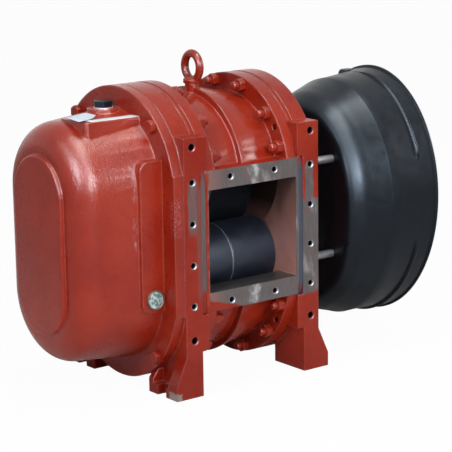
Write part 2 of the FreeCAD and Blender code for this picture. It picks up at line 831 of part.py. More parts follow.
def shaft_nut(centre_z):
    start = -gear_stop - shaft_nut_width
    nut = ring_x(shaft_nut_radius, shaft_nut_thread_radius + running_fit, start, -gear_stop, 0, centre_z)
    slots = []
    for turn in (0, 90, 180, 270):
        slot = block((start, -gear_stop), (-4, 4), (shaft_nut_radius - 3.5, shaft_nut_radius + 1))
        slot.rotate(point(0, 0, 0), point(1, 0, 0), turn)
        slot.translate(point(0, 0, centre_z))
        slots.append(slot)
    return nut.cut(slots)


def gear_spacer(centre_z):
    return ring_x(gear_spacer_radius, gear_seat_radius + running_fit,
                  -gear_start, -gear_start + gear_spacer_length, 0, centre_z)


# Common part of both shafts: nut thread, gear seat, journals and the rotor seat.
def shaft_body(centre_z):
    nut_end = -gear_stop - shaft_nut_width - 2.0
    journal_start = bearing_start_gear - 1.0
    journal_end = bearing_start_gear + bearing_width
    sections = [rod_x(shaft_nut_thread_radius, nut_end, -gear_stop, 0, centre_z),
                rod_x(gear_seat_radius, -gear_stop, -journal_end, 0, centre_z),
                rod_x(journal_radius, -journal_end, -journal_start, 0, centre_z),
                rod_x(shaft_radius, -journal_start, journal_start, 0, centre_z),
                rod_x(journal_radius, journal_start, journal_end, 0, centre_z)]
    shaft = fuse_all(sections)
    return shaft.cut([rotor_key(centre_z), gear_key(centre_z)])


def idler_shaft():
    journal_end = bearing_start_gear + bearing_width
    tail = rod_x(gear_seat_radius, journal_end, idler_drive_end, 0, upper_z)
    return shaft_body(upper_z).fuse(tail).removeSplitter()


def drive_shaft():
    journal_end = bearing_start_gear + bearing_width
    neck = rod_x(stub_radius, journal_end, stub_shoulder_x, 0, lower_z)
    spline = rod_x(spline_outer_radius, stub_shoulder_x, stub_end_x, 0, lower_z)
    end_edges = [edge for edge in spline.Edges if edge.BoundBox.XMin > stub_end_x - 0.01]
    spline = spline.makeChamfer(spline_end_chamfer, end_edges)
    grooves = []
    gap = 2 * math.pi * spline_outer_radius / spline_count - spline_width
    for n in range(spline_count):
        groove = block((stub_shoulder_x + 6.0, stub_end_x), (-gap / 2, gap / 2),
                       (spline_root_radius, spline_outer_radius + 1))
        groove.rotate(point(0, 0, 0), point(1, 0, 0), 360.0 * n / spline_count)
        groove.translate(point(0, 0, lower_z))
        grooves.append(groove)
    spline = spline.cut(grooves)
    groove_x = stub_end_x - spline_groove_from_end
    spline = spline.cut(ring_x(spline_outer_radius + 1, spline_groove_radius, groove_x,
                               groove_x + spline_groove_width, 0, lower_z))
    return fuse_all([shaft_body(lower_z), neck, spline])


# Seal seat in the housing and the ring that turns against it, for one end of one shaft.
def seal_seat(side, centre_z):
    start = plate_end + seal_start
    seat = ring_x(seal_bore_radius - running_fit, seal_seat_inner_radius,
                  start, start + seal_seat_width, 0, centre_z)
    return seat if side > 0 else mirrored_x(seat)


def seal_ring(side, centre_z):
    start = plate_end + seal_start + seal_seat_width + running_fit
    ring = ring_x(seal_ring_radius, shaft_radius + running_fit, start, start + seal_ring_width, 0, centre_z)
    return ring if side > 0 else mirrored_x(ring)


def bearing_outer_ring(side, centre_z):
    ring = ring_x(bearing_outer_radius, bearing_outer_ring_bore, bearing_start_gear,
                  bearing_start_gear + bearing_width, 0, centre_z)
    return ring if side > 0 else mirrored_x(ring)


def bearing_inner_ring(side, centre_z):
    ring = ring_x(bearing_inner_ring_radius, journal_radius + running_fit, bearing_start_gear,
                  bearing_start_gear + bearing_width, 0, centre_z)
    return ring if side > 0 else mirrored_x(ring)


def bearing_rollers(side, centre_z):
    room = bearing_outer_ring_bore - bearing_inner_ring_radius
    roller_radius = room / 2 - running_fit
    circle = (bearing_outer_ring_bore + bearing_inner_ring_radius) / 2
    rollers = []
    for n in range(roller_count):
        angle = 2 * math.pi * n / roller_count
        rollers.append(rod_x(roller_radius, bearing_start_gear + 3.0, bearing_start_gear + bearing_width - 3.0,
                             circle * math.cos(angle), centre_z + circle * math.sin(angle)))
    group = Part.makeCompound(rollers)
    return group if side > 0 else mirrored_x(group)


# Plate inside the gear case that holds both outer rings against their shoulders.
def bearing_retainer():
    start = -(gear_housing_end + gear_boss_length + retainer_thickness)
    end = -(gear_housing_end + gear_boss_length)
    plate = stadium(gear_boss_radius, start, end)
    return plate.cut(both_rods(retainer_opening_radius, start, end))


def drive_end_cover():
    plate = stadium(drive_boss_radius, end_cover_start, end_cover_face)
    cavity_end = end_cover_start + end_cover_cavity_depth
    plate = plate.cut(both_rods(end_cover_cavity_radius, end_cover_start, cavity_end))
    tools = [rod_x(lip_seal_radius, end_cover_face - lip_seal_width, end_cover_face, 0, lower_z),
             rod_x(stub_radius + 2.0, end_cover_start, end_cover_face, 0, lower_z)]
    for y, z in cover_screw_places():
        tools.append(rod_x(cover_screw_radius + running_fit, end_cover_start, end_cover_face, y, z))
        tools.append(rod_x(cover_screw_head_radius + running_fit, end_cover_face - cover_screw_head_height - 1.0,
                           end_cover_face, y, z))
    return plate.cut(tools)


def end_cover_screws():
    screws = []
    seat = end_cover_face - cover_screw_head_height - 1.0
    for y, z in cover_screw_places():
        shank = rod_x(cover_screw_radius, end_cover_start - cover_screw_grip + 1.0, seat, y, z)
        head = rod_x(cover_screw_head_radius, seat, seat + cover_screw_head_height, y, z)
        socket = hexagon(6.0, point(seat + 4.0, y, z), point(1, 0, 0), cover_screw_head_height)
        screws.append(shank.fuse(head).cut(socket))
    return Part.makeCompound(screws)


def lip_seal():
    start = end_cover_face - lip_seal_width
    return ring_x(lip_seal_radius - running_fit, stub_radius + running_fit, start, end_cover_face, 0, lower_z)


def guard_wire(from_rim, scale, wall):
    share = from_rim / (guard_rim_x - guard_base_x)
    rise = guard_rim_rise + (guard_base_rise - guard_rim_rise) * share
    lean = math.radians(guard_rim_lean + (guard_base_lean - guard_rim_lean) * share)
    centre = point(guard_rim_x - from_rim, 0, port_centre_height + rise)
    tall = point(0, -math.sin(lean), math.cos(lean)) * (guard_half_height * scale - wall)
    wide = point(0, math.cos(lean), math.sin(lean)) * (guard_half_width * scale - wall)
    return Part.Wire([Part.Ellipse(centre + tall, centre + wide, centre).toShape()])


# Straight from station to station at the rim, one smooth curve for the bowl and a short
# cone down to the rounded base.
def guard_form(wall):
    def wires(stations):
        return [guard_wire(from_rim, scale, wall) for from_rim, scale in stations]

    base_from_rim = guard_rim_x - guard_base_x - wall
    barrel = Part.makeLoft(wires(guard_barrel), True, True)
    bowl_part = Part.makeLoft(wires(guard_barrel[-1:] + guard_bowl), True, False)
    base_part = Part.makeLoft(wires(guard_bowl[-1:] + ((base_from_rim, guard_base_scale),)), True, True)
    base = guard_base_x + wall
    base_part = round_edges(base_part, guard_base_corner - wall,
                            lambda edge: edge.CenterOfMass.x < base + 0.1)
    return fuse_all([barrel, bowl_part, base_part])


# Oval bell, open towards +X. One raised rib runs round it near its rim, broken at both sides.
def guard_bell():
    outline = Part.Face(guard_wire(guard_rib_from_rim, guard_rib_scale, 0.0))
    rib = outline.extrude(point(guard_rib_width, 0, 0))
    gap_centre = port_centre_height + guard_rib_gap_rise
    rib = rib.cut(block((guard_base_x, guard_rim_x), (-guard_half_width, guard_half_width),
                        (gap_centre - guard_rib_gap_half_height, gap_centre + guard_rib_gap_half_height)))
    bell = guard_form(0.0).fuse(rib).cut(guard_form(guard_wall))
    inside = guard_base_x + guard_wall
    tools = [rod_x(guard_shaft_opening, guard_base_x, inside, 0, lower_z)]
    for y, z in guard_stud_places():
        tools.append(rod_x(guard_thread_radius + stud_hole_clearance, guard_base_x, inside, y, z))
    return bell.cut(tools)


def guard_washers():
    start = guard_base_x + guard_wall
    return Part.makeCompound([ring_x(guard_washer_radius, guard_thread_radius + running_fit, start,
                                     start + guard_washer_thickness, y, z) for y, z in guard_stud_places()])


def guard_nuts():
    seat = guard_base_x + guard_wall + guard_washer_thickness
    nuts = []
    for y, z in guard_stud_places():
        nut = hexagon(guard_nut_across_flats, point(seat, y, z), point(1, 0, 0), guard_nut_height)
        nuts.append(nut.cut(rod_x(guard_thread_radius + running_fit, seat, seat + guard_nut_height, y, z)))
    return Part.makeCompound(nuts)


lower_axis = 180.0 - rotor_phase
upper_axis = 90.0 + rotor_phase
half_tooth_step = 180.0 / gear_teeth
filler_seat = point(filler_x, 0, top_pad_height + filler_boss_height + plug_washer_thickness)
drain_seat = point(sight_x, side_pad_y + plug_washer_thickness, sight_z)
up = point(0, 0, 1)
rear = point(0, 1, 0)

save("pump_casing", pump_casing())
save("gear_side_housing", gear_side_housing())
save("drive_side_housing", drive_side_housing())
save("gear_side_wear_plate", wear_plate(-1))
save("drive_side_wear_plate", wear_plate(1))
save("gear_cover", gear_cover())
save("gear_cover_gasket", cover_gasket())
save("gear_cover_bolts", cover_bolts())
save("oil_filler_plug", hex_plug(plug_across_flats, filler_seat, up))
save("oil_filler_washer", plug_washer(filler_seat - up * plug_washer_thickness, up))
save("oil_drain_plug", hex_plug(plug_across_flats, drain_seat, rear))
save("oil_drain_washer", plug_washer(drain_seat - rear * plug_washer_thickness, rear))
save("sight_glass", sight_glass())
save("sight_glass_ring", sight_ring())
save("lifting_eye_bolt", eye_bolt())
save("gear_side_studs", flange_studs(-1))
save("drive_side_studs", flange_studs(1))
save("gear_side_nuts", flange_nuts(-1))
save("drive_side_nuts", flange_nuts(1))
save("guard_studs", guard_studs())
save("bearing_retainer_plate", bearing_retainer())
save("drive_end_cover", drive_end_cover())
save("drive_end_cover_screws", end_cover_screws())
save("drive_shaft_lip_seal", lip_seal())
save("guard_bell", guard_bell())
save("guard_washers", guard_washers())
save("guard_nuts", guard_nuts())

shaft_ends = [(side, z) for side in (-1, 1) for z in (lower_z, upper_z)]
save("seal_seats", Part.makeCompound([seal_seat(side, z) for side, z in shaft_ends]))
save("bearing_outer_rings", Part.makeCompound([bearing_outer_ring(side, z) for side, z in shaft_ends]))

for name, centre_z, axis_angle, first_tooth in (("drive", lower_z, lower_axis, 90.0),
                                                ("idler", upper_z, upper_axis, 270.0 + half_tooth_step)):
    shaft = drive_shaft() if name == "drive" else idler_shaft()
    save(name + "_shaft", shaft)
    save(name + "_rotor_core", rotor_core(axis_angle, centre_z))
    save(name + "_rotor_rubber_left", rotor_rubber(-1, axis_angle, centre_z))
    save(name + "_rotor_rubber_right", rotor_rubber(1, axis_angle, centre_z))
    save(name + "_rotor_key", rotor_key(centre_z))
    save(name + "_timing_gear", timing_gear(centre_z, first_tooth))
    save(name + "_gear_key", gear_key(centre_z))
    save(name + "_gear_spacer", gear_spacer(centre_z))
    save(name + "_shaft_nut", shaft_nut(centre_z))
    save(name + "_seal_rings", Part.makeCompound([seal_ring(side, centre_z) for side in (-1, 1)]))
    save(name + "_bearing_inner_rings",
         Part.makeCompound([bearing_inner_ring(side, centre_z) for side in (-1, 1)]))
    save(name + "_bearing_rollers",
         Part.makeCompound([roller for side in (-1, 1) for roller in bearing_rollers(side, centre_z).Solids]))
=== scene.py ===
import json
import math
import bpy
import bmesh
import numpy as np
from mathutils import Matrix, Vector


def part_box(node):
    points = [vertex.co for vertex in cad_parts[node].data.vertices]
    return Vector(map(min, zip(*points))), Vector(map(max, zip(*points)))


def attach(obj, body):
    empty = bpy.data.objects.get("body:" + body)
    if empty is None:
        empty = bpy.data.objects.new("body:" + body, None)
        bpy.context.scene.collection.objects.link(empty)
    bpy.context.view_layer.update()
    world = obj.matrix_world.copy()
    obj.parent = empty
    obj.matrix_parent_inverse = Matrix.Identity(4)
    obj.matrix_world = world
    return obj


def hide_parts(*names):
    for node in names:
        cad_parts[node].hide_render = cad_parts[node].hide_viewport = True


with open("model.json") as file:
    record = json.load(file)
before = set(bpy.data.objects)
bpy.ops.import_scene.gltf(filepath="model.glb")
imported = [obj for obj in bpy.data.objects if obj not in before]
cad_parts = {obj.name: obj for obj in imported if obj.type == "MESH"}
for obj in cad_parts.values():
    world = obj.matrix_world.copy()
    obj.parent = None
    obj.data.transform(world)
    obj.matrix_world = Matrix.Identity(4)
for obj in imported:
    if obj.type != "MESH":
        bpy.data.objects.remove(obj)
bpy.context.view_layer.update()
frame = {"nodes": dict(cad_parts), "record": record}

# Places that several pieces share, in metres
portCentreZ = 0.225
lowerShaftZ = 0.151
portFaceY = 0.142
print("frame loaded:", len(frame["nodes"]), "nodes")


def addObject(name, data):
    made = bpy.data.objects.new(name, data)
    bpy.context.scene.collection.objects.link(made)
    return made


# Helpers for node trees: a value that is a socket is linked, any other is set
def feed(tree, node, inputs):
    for key, value in inputs.items():
        if isinstance(value, bpy.types.NodeSocket):
            tree.links.new(value, node.inputs[key])
        else:
            node.inputs[key].default_value = value


def addNode(tree, kind, inputs=None, **settings):
    made = tree.nodes.new(kind)
    for key, value in settings.items():
        setattr(made, key, value)
    feed(tree, made, inputs or {})
    return made


def emptyTree(owner):
    owner.use_nodes = True
    owner.node_tree.nodes.clear()
    return owner.node_tree


def newFinish(name):
    material = bpy.data.materials.new(name)
    tree = emptyTree(material)
    shader = addNode(tree, "ShaderNodeBsdfPrincipled")
    addNode(tree, "ShaderNodeOutputMaterial", {0: shader.outputs[0]})
    where = addNode(tree, "ShaderNodeTexCoord").outputs["Object"]
    return material, tree, shader, where


def maths(tree, operation, a, b=0.0, clamp=False):
    return addNode(tree, "ShaderNodeMath", {0: a, 1: b}, operation=operation, use_clamp=clamp).outputs[0]


def times(tree, *values):
    product = values[0]
    for value in values[1:]:
        product = maths(tree, "MULTIPLY", product, value)
    return product


def largest(tree, *values):
    result = values[0]
    for value in values[1:]:
        result = maths(tree, "MAXIMUM", result, value)
    return result


def absolute(tree, value):
    return maths(tree, "ABSOLUTE", value)


def noise(tree, where, scale, detail=3.0, rough=0.55, stretch=None):
    if stretch:  # a pattern drawn out along one axis
        where = addNode(tree, "ShaderNodeMapping", {"Vector": where, "Scale": stretch}).outputs[0]
    return addNode(tree, "ShaderNodeTexNoise",
                   {"Vector": where, "Scale": scale, "Detail": detail, "Roughness": rough}).outputs[0]


def softStep(tree, value, low, high):  # 0 below low, 1 above high
    return addNode(tree, "ShaderNodeMapRange", {"Value": value, "From Min": low, "From Max": high},
                   interpolation_type="SMOOTHSTEP").outputs[0]


def remap(tree, value, low, high, toLow, toHigh):
    return addNode(tree, "ShaderNodeMapRange", {"Value": value, "From Min": low, "From Max": high,
                                                "To Min": toLow, "To Max": toHigh}).outputs[0]


def band(tree, value, low, high, soft=0.001):  # 1 between low and high, with soft ends
    above = softStep(tree, value, low - soft, low + soft)
    below = softStep(tree, maths(tree, "MULTIPLY", value, -1.0), -high - soft, -high + soft)
    return maths(tree, "MULTIPLY", above, below)


# 1 inside a box of three spans of X, Y and Z
def patch(tree, places, spans, soft=0.003):
    return times(tree, *(band(tree, place, *span, soft) for place, span in zip(places, spans)))


def mixColour(tree, share, a, b):
    a, b = (value if isinstance(value, bpy.types.NodeSocket) else (*value, 1.0) for value in (a, b))
    return addNode(tree, "ShaderNodeMix", {0: share, 6: a, 7: b}, data_type="RGBA").outputs[2]


def mixNumber(tree, share, a, b):
    return addNode(tree, "ShaderNodeMix", {0: share, 2: a, 3: b}, data_type="FLOAT").outputs[0]


def wander(tree, where, scale, reach, rough=0.65):  # an outline's ragged shift, up to reach either way
    return remap(tree, noise(tree, where, scale, 4.0, rough), 0.3, 0.7, -reach, reach)


def bump(tree, height, distance, strength=1.0, under=None):
    inputs = {"Height": height, "Distance": distance, "Strength": strength}
    if under is not None:
        inputs["Normal"] = under
    return addNode(tree, "ShaderNodeBump", inputs).outputs[0]


# X, Y and the height above the port centre
def coordinates(tree, where):
    x, y, z = addNode(tree, "ShaderNodeSeparateXYZ", {0: where}).outputs
    return x, y, maths(tree, "SUBTRACT", z, portCentreZ)


# Red paint on rough castings
redPaint = {
    "main": (0.246, 0.0125, 0.0030),
    "thin": (0.325, 0.0255, 0.0095),
    "deep": (0.150, 0.006, 0.003),
    "pits": 0.45,                # share of the deep colour in the pits
    "lowShadeFrom": (0.09, 0.20),   # painted shade, darker below the port centre
    "lowShade": 0.30,
    "patch": 9.0,                # broad changes of colour, per metre
    "grain": 380.0,              # cast skin under the paint, per metre
    "grainHeight": 0.00025,
    "wave": 45.0,
    "waveHeight": 0.0006,
    "edge": 0.0038,              # radius that rounds the edges' shading
    "rubbed": 0.0016,            # radius of the paler edges, a painted highlight partly of rubbed paint
    "turned": (0.01, 0.14),      # how far the normal turns on an edge that takes the painted highlight
    # share and colour of the paler edges: painted highlight with some real wear
    "wear": 0.62,
    "pale": (0.52, 0.17, 0.14),
    "roughness": (0.24, 0.36),
    "specular": 0.05,
    "coat": 0.42,
    "coatRoughness": 0.13,
}


# Painted highlight, partly paint rubbed thin: edges turn pale where the rounded normal turns away from the
# face's own
def paleEdgesSheenAndWear(tree, where, look):
    bent = addNode(tree, "ShaderNodeBevel", {"Radius": look["rubbed"]}, samples=6).outputs[0]
    flat = addNode(tree, "ShaderNodeNewGeometry").outputs["True Normal"]
    facing = addNode(tree, "ShaderNodeVectorMath", {0: bent, 1: flat}, operation="DOT_PRODUCT")
    edge = softStep(tree, maths(tree, "SUBTRACT", 1.0, facing.outputs["Value"]), *look["turned"])
    ragged = remap(tree, noise(tree, where, 110.0, 4.0, 0.65), 0.35, 0.65, 0.15, 1.0)
    return times(tree, edge, ragged, look["wear"])


def paintColour(tree, where, look):
    broad = softStep(tree, noise(tree, where, look["patch"], 4.0), 0.35, 0.7)
    colour = mixColour(tree, broad, look["main"], look["thin"])
    pits = softStep(tree, noise(tree, where, look["grain"] * 0.8, 2.0), 0.58, 0.75)
    colour = mixColour(tree, maths(tree, "MULTIPLY", pits, look["pits"]), colour, look["deep"])
    # Painted shade: the paint darkens towards the bottom, below the port centre
    down = maths(tree, "MULTIPLY", coordinates(tree, where)[2], -1.0)
    colour = mixColour(tree, remap(tree, down, *look["lowShadeFrom"], 0.0, look["lowShade"]), colour, look["deep"])
    # edges turn pale: painted highlight, partly paint rubbed thin
    return mixColour(tree, paleEdgesSheenAndWear(tree, where, look), colour, look["pale"])


def castSkin(tree, where, look):
    coarse = noise(tree, where, look["grain"], 3.0, 0.6)
    waves = noise(tree, where, look["wave"], 2.0)
    edges = addNode(tree, "ShaderNodeBevel", {"Radius": look["edge"]}, samples=6).outputs[0]
    under = bump(tree, waves, look["waveHeight"], 0.5, edges)
    return bump(tree, coarse, look["grainHeight"], 1.0, under)


# mask: a function of the tree, the place and its three coordinates, which gives where the
# paint is missing (0 to 1), the colour there, and how much of that is metal
def redFinish(name, mask=None, **changes):
    look = {**redPaint, **changes}
    material, tree, shader, where = newFinish(name)
    colour = paintColour(tree, where, look)
    low, high = look["roughness"]
    gloss = remap(tree, noise(tree, where, 70.0, 3.0), 0.3, 0.7, low, high)
    normal = castSkin(tree, where, look)
    if mask:
        x, y, z = coordinates(tree, where)
        bare, bareTone, metal = mask(tree, where, x, y, z)
        colour = mixColour(tree, bare, colour, bareTone)
        gloss = mixNumber(tree, bare, gloss, bareIron["roughness"])
        strokes = noise(tree, where, bareIron["milling"], 2.0, 0.5, (3.0, 1.0, 1.0))
        milled = bump(tree, strokes, bareIron["millingHeight"], 0.6)
        normal = addNode(tree, "ShaderNodeMix", {0: bare, 4: normal, 5: milled}, data_type="VECTOR").outputs[1]
        feed(tree, shader, {"Metallic": maths(tree, "MULTIPLY", bare, metal)})
    feed(tree, shader, {"Base Color": colour, "Roughness": gloss, "Normal": normal, "Coat Normal": normal,
                        "Coat Weight": look["coat"], "Coat Roughness": look["coatRoughness"],
                        "Specular IOR Level": look["specular"]})
    return material


# Milled iron where the paint is worn or left off
bareIron = {
    "stain": (0.085, 0.072, 0.068),
    "main": (0.160, 0.145, 0.150),
    "light": (0.36, 0.35, 0.36),
    "overspray": (0.30, 0.085, 0.065),
    "drilled": (0.27, 0.28, 0.31),
    # near black further into a hole: painted shade
    "depth": (0.012, 0.011, 0.011),
    "roughness": 0.36,
    "milling": 420.0,       # milling marks per metre
    "millingHeight": 0.0002,
    "smear": 0.75,          # shares of the light and the stained patches
    "stains": 0.30,
    "mouth": 0.0014,        # width of a countersink
    "mouthDepth": 0.0034,
}


def bareColour(tree, where):
    strokes = noise(tree, where, 60.0, 4.0, 0.6, (6.0, 1.0, 1.0))
    smear = softStep(tree, noise(tree, where, 30.0, 3.0, 0.6, (1.0, 1.0, 0.5)), 0.56, 0.76)
    stain = softStep(tree, noise(tree, where, 55.0, 4.0), 0.50, 0.78)
    colour = mixColour(tree, strokes, bareIron["stain"], bareIron["main"])
    colour = mixColour(tree, maths(tree, "MULTIPLY", smear, bareIron["smear"]), colour, bareIron["light"])
    return mixColour(tree, maths(tree, "MULTIPLY", stain, bareIron["stains"]), colour, bareIron["overspray"])


def onPortFace(tree, y):  # 1 on either port's face, 0 from 1.2 mm behind it
    return softStep(tree, absolute(tree, y), portFaceY - 0.0012, portFaceY - 0.0006)


# 1 on the mouth of a drilled hole that runs along Y, 2 on its wall and end further in
def drilled(tree, x, y, z, holeX, holeZ, radius):
    across = maths(tree, "SUBTRACT", x, holeX)
    along = maths(tree, "SUBTRACT", z, holeZ)
    away = maths(tree, "SQRT", maths(tree, "ADD", times(tree, across, across), times(tree, along, along)))
    deep = maths(tree, "LESS_THAN", absolute(tree, y), portFaceY - bareIron["mouthDepth"])
    return times(tree, maths(tree, "LESS_THAN", away, radius + bareIron["mouth"]),
                 maths(tree, "LESS_THAN", absolute(tree, y), portFaceY - 0.00005),
                 maths(tree, "ADD", deep, 1.0))


# holes: 0 outside, 1 at the mouth, 2 inside, painted near black as painted shade
def holeColour(tree, holes, colour, mouthColour=bareIron["drilled"]):
    mouth = mixColour(tree, maths(tree, "MINIMUM", holes, 1.0), colour, mouthColour)
    return mixColour(tree, maths(tree, "SUBTRACT", holes, 1.0, True), mouth, bareIron["depth"])


# The side bars: a worn lower right bar, two worn strips, bright holes at a 60 mm pitch
sideBars = {
    "centre": 0.1084,
    "pitchHalf": 0.030,
    "holeRadius": 0.00425,
    "cornerHole": (0.1404, 0.0051),    # height from the port centre, radius
    "cornerMouth": (0.22, 0.055, 0.060),
    "ragged": 0.0035,                  # how far the worn outlines wander
    "rightEnd": (0.080, 0.081),
    "wornBottom": -0.105,
    "wornTop": 0.040,
    "stripTop": 0.094,
    "overlap": 0.004,
    "strip": (0.0985, 0.1130),
    "leftStrip": (-0.1165, -0.1010),
    "leftRange": (0.016, 0.088),
    "leftShare": 0.8,
    "leftEdge": (-0.1010, -0.0890),
    "leftEdgeRange": (-0.078, 0.084),
    "leftEdgeShare": 0.45,
    "leftEdgeColour": (0.062, 0.052, 0.052),
    "metal": 0.5,
    "chip": ((-0.1450, -0.1320), (-0.150, -0.1215), (-0.230, -0.2135)),
    "chipColour": (0.27, 0.22, 0.19),
}


def sideBarMask(tree, where, x, y, z):
    look = sideBars
    ragged = wander(tree, where, 75.0, look["ragged"])
    height = maths(tree, "ADD", z, ragged)
    edgeX = maths(tree, "ADD", x, maths(tree, "MULTIPLY", ragged, 0.5))
    whole = times(tree, band(tree, height, look["wornBottom"], look["wornTop"], 0.004),
                  softStep(tree, x, *look["rightEnd"]))
    strip = times(tree, band(tree, height, look["wornTop"] - look["overlap"], look["stripTop"], 0.004),
                  band(tree, edgeX, *look["strip"], 0.001))
    left = times(tree, band(tree, height, *look["leftRange"], 0.008),
                 band(tree, edgeX, *look["leftStrip"], 0.0015), look["leftShare"])
    rubbed = times(tree, band(tree, edgeX, *look["leftEdge"], 0.0012),
                   band(tree, height, *look["leftEdgeRange"], 0.008), look["leftEdgeShare"])
    worn = maths(tree, "MULTIPLY", largest(tree, whole, strip, left, rubbed), onPortFace(tree, y))
    across, high = absolute(tree, x), absolute(tree, z)
    folded = absolute(tree, maths(tree, "SUBTRACT", high, 2 * look["pitchHalf"]))
    holes = drilled(tree, across, y, folded, look["centre"], look["pitchHalf"], look["holeRadius"])
    corner = drilled(tree, across, y, high, look["centre"], *look["cornerHole"])
    chip = patch(tree, (maths(tree, "ADD", x, ragged), y, height), look["chip"], 0.0015)
    colour = mixColour(tree, maths(tree, "MULTIPLY", rubbed, 0.8), bareColour(tree, where),
                       look["leftEdgeColour"])
    colour = mixColour(tree, chip, colour, look["chipColour"])
    colour = holeColour(tree, holes, colour)
    colour = holeColour(tree, corner, colour, look["cornerMouth"])
    holes = maths(tree, "MINIMUM", largest(tree, holes, corner), 1.0)
    return largest(tree, worn, chip, holes), colour, look["metal"]


# The middle casting: bare port bars, bright holes, a chamber painted dark as painted shade
portFaces = {
    "barTop": 0.1035,
    "barEnd": 0.0805,
    "ragged": 0.003,
    "wedgeFrom": (0.010, 0.078),
    "wedge": 0.019,                 # paint left on the lower bar's left end
    "hole": (0.0403, 0.0908, 0.00425),
    "duct": (0.0811, 0.0757),       # half width and half height
    "ductStart": 0.0008,            # behind the port's face
    "skin": 0.0014,
    "chamberHalf": 0.0856,
    "shaft": 0.074,                 # from the port centre
    "bore": 0.1008,
    "rub": (-0.002, 0.010),         # a pale rubbed patch across each bar
    "rubColour": (0.60, 0.60, 0.63),
    "pinkFrom": (0.045, 0.085),     # overspray towards the left end
    "pink": (0.34, 0.145, 0.120),
    # the duct's right wall: colour raised as painted light, with painted shade towards its top
    "wall": (0.50, 0.235, 0.20),
    "wallTop": (0.060, 0.036, 0.032),
    "wallShade": (-0.045, 0.076),
    "floor": (0.058, 0.052, 0.050),
    "chamber": (0.035, 0.028, 0.027),
}


def portMask(tree, where, x, y, z):
    look = portFaces
    ragged = wander(tree, where, 70.0, look["ragged"])
    across, depth, high = (absolute(tree, place) for place in (x, y, z))
    left = maths(tree, "MULTIPLY", x, -1.0)
    painted = maths(tree, "ADD", remap(tree, left, *look["wedgeFrom"], 0.0, look["wedge"]),
                    maths(tree, "MULTIPLY", ragged, 0.4))
    shifted = maths(tree, "ADD", x, ragged)
    bars = times(tree, onPortFace(tree, y), band(tree, high, 0.0, look["barTop"], 0.0006),
                 band(tree, shifted, -look["barEnd"], 0.2, 0.003),
                 softStep(tree, maths(tree, "SUBTRACT", z, painted), -look["barTop"] - 0.004,
                          -look["barTop"]))
    inPort = times(tree, maths(tree, "LESS_THAN", across, look["duct"][0]),
                   maths(tree, "LESS_THAN", high, look["duct"][1]),
                   maths(tree, "LESS_THAN", depth, portFaceY - look["ductStart"]))
    above = maths(tree, "MAXIMUM", maths(tree, "SUBTRACT", high, look["shaft"]), 0.0)
    fromShaft = maths(tree, "SQRT", maths(tree, "ADD", times(tree, y, y), times(tree, above, above)))
    inBore = times(tree, maths(tree, "LESS_THAN", fromShaft, look["bore"]),
                   maths(tree, "LESS_THAN", across, look["chamberHalf"]))
    inside = largest(tree, inPort, inBore)
    holes = drilled(tree, across, y, high, *look["hole"])
    colour = bareColour(tree, where)
    rub = band(tree, maths(tree, "ADD", x, maths(tree, "MULTIPLY", ragged, 2.5)), *look["rub"], 0.006)
    cloud = softStep(tree, noise(tree, where, 75.0, 5.0, 0.6, (1.0, 1.0, 0.6)), 0.38, 0.72)
    colour = mixColour(tree, times(tree, rub, cloud, 0.9), colour, look["rubColour"])
    pinkEnd = softStep(tree, maths(tree, "MULTIPLY", shifted, -1.0), *look["pinkFrom"])
    colour = mixColour(tree, maths(tree, "MULTIPLY", pinkEnd, 0.55), colour, look["pink"])
    onWall = maths(tree, "GREATER_THAN", across, look["duct"][0] - look["skin"])
    cloudy = noise(tree, where, 35.0, 4.0)
    # The right wall's colour is raised to stand in for light the lamps don't bring in, painted light, and
    # turns dark towards its top, painted shade
    wall = mixColour(tree, cloudy, look["wall"], tuple(0.6 * c for c in look["wall"]))
    wall = mixColour(tree, remap(tree, z, *look["wallShade"], 0.0, 0.85), wall, look["wallTop"])
    # the bore's chamber is near black: painted shade in the cavity
    inner = mixColour(tree, inBore, look["floor"], look["chamber"])
    inner = mixColour(tree, onWall, inner, wall)
    colour = mixColour(tree, inside, colour, inner)
    colour = holeColour(tree, holes, colour)
    bare = largest(tree, bars, inside, maths(tree, "MINIMUM", holes, 1.0))
    return bare, colour, maths(tree, "MULTIPLY", maths(tree, "SUBTRACT", 1.0, inside), 0.5)


# The wear plates: bluish steel edge between the bars, painted above and below
plateSteel = {
    "window": (-0.112, 0.098),
    "ragged": 0.006,
    "bottom": (-0.116, -0.108),
    "leftLift": 0.042,        # paint reaches higher on the left plate
    "outside": 0.120,
    "innerHalf": 0.0852,
    "edge": (0.040, 0.048, 0.072),
    "leftEdge": (0.085, 0.072, 0.070),
    # the plate's inner face, with painted shade towards its top
    "inner": (0.40, 0.20, 0.17),
    "innerTop": (0.022, 0.012, 0.011),
    "innerShade": (-0.060, 0.030),
}


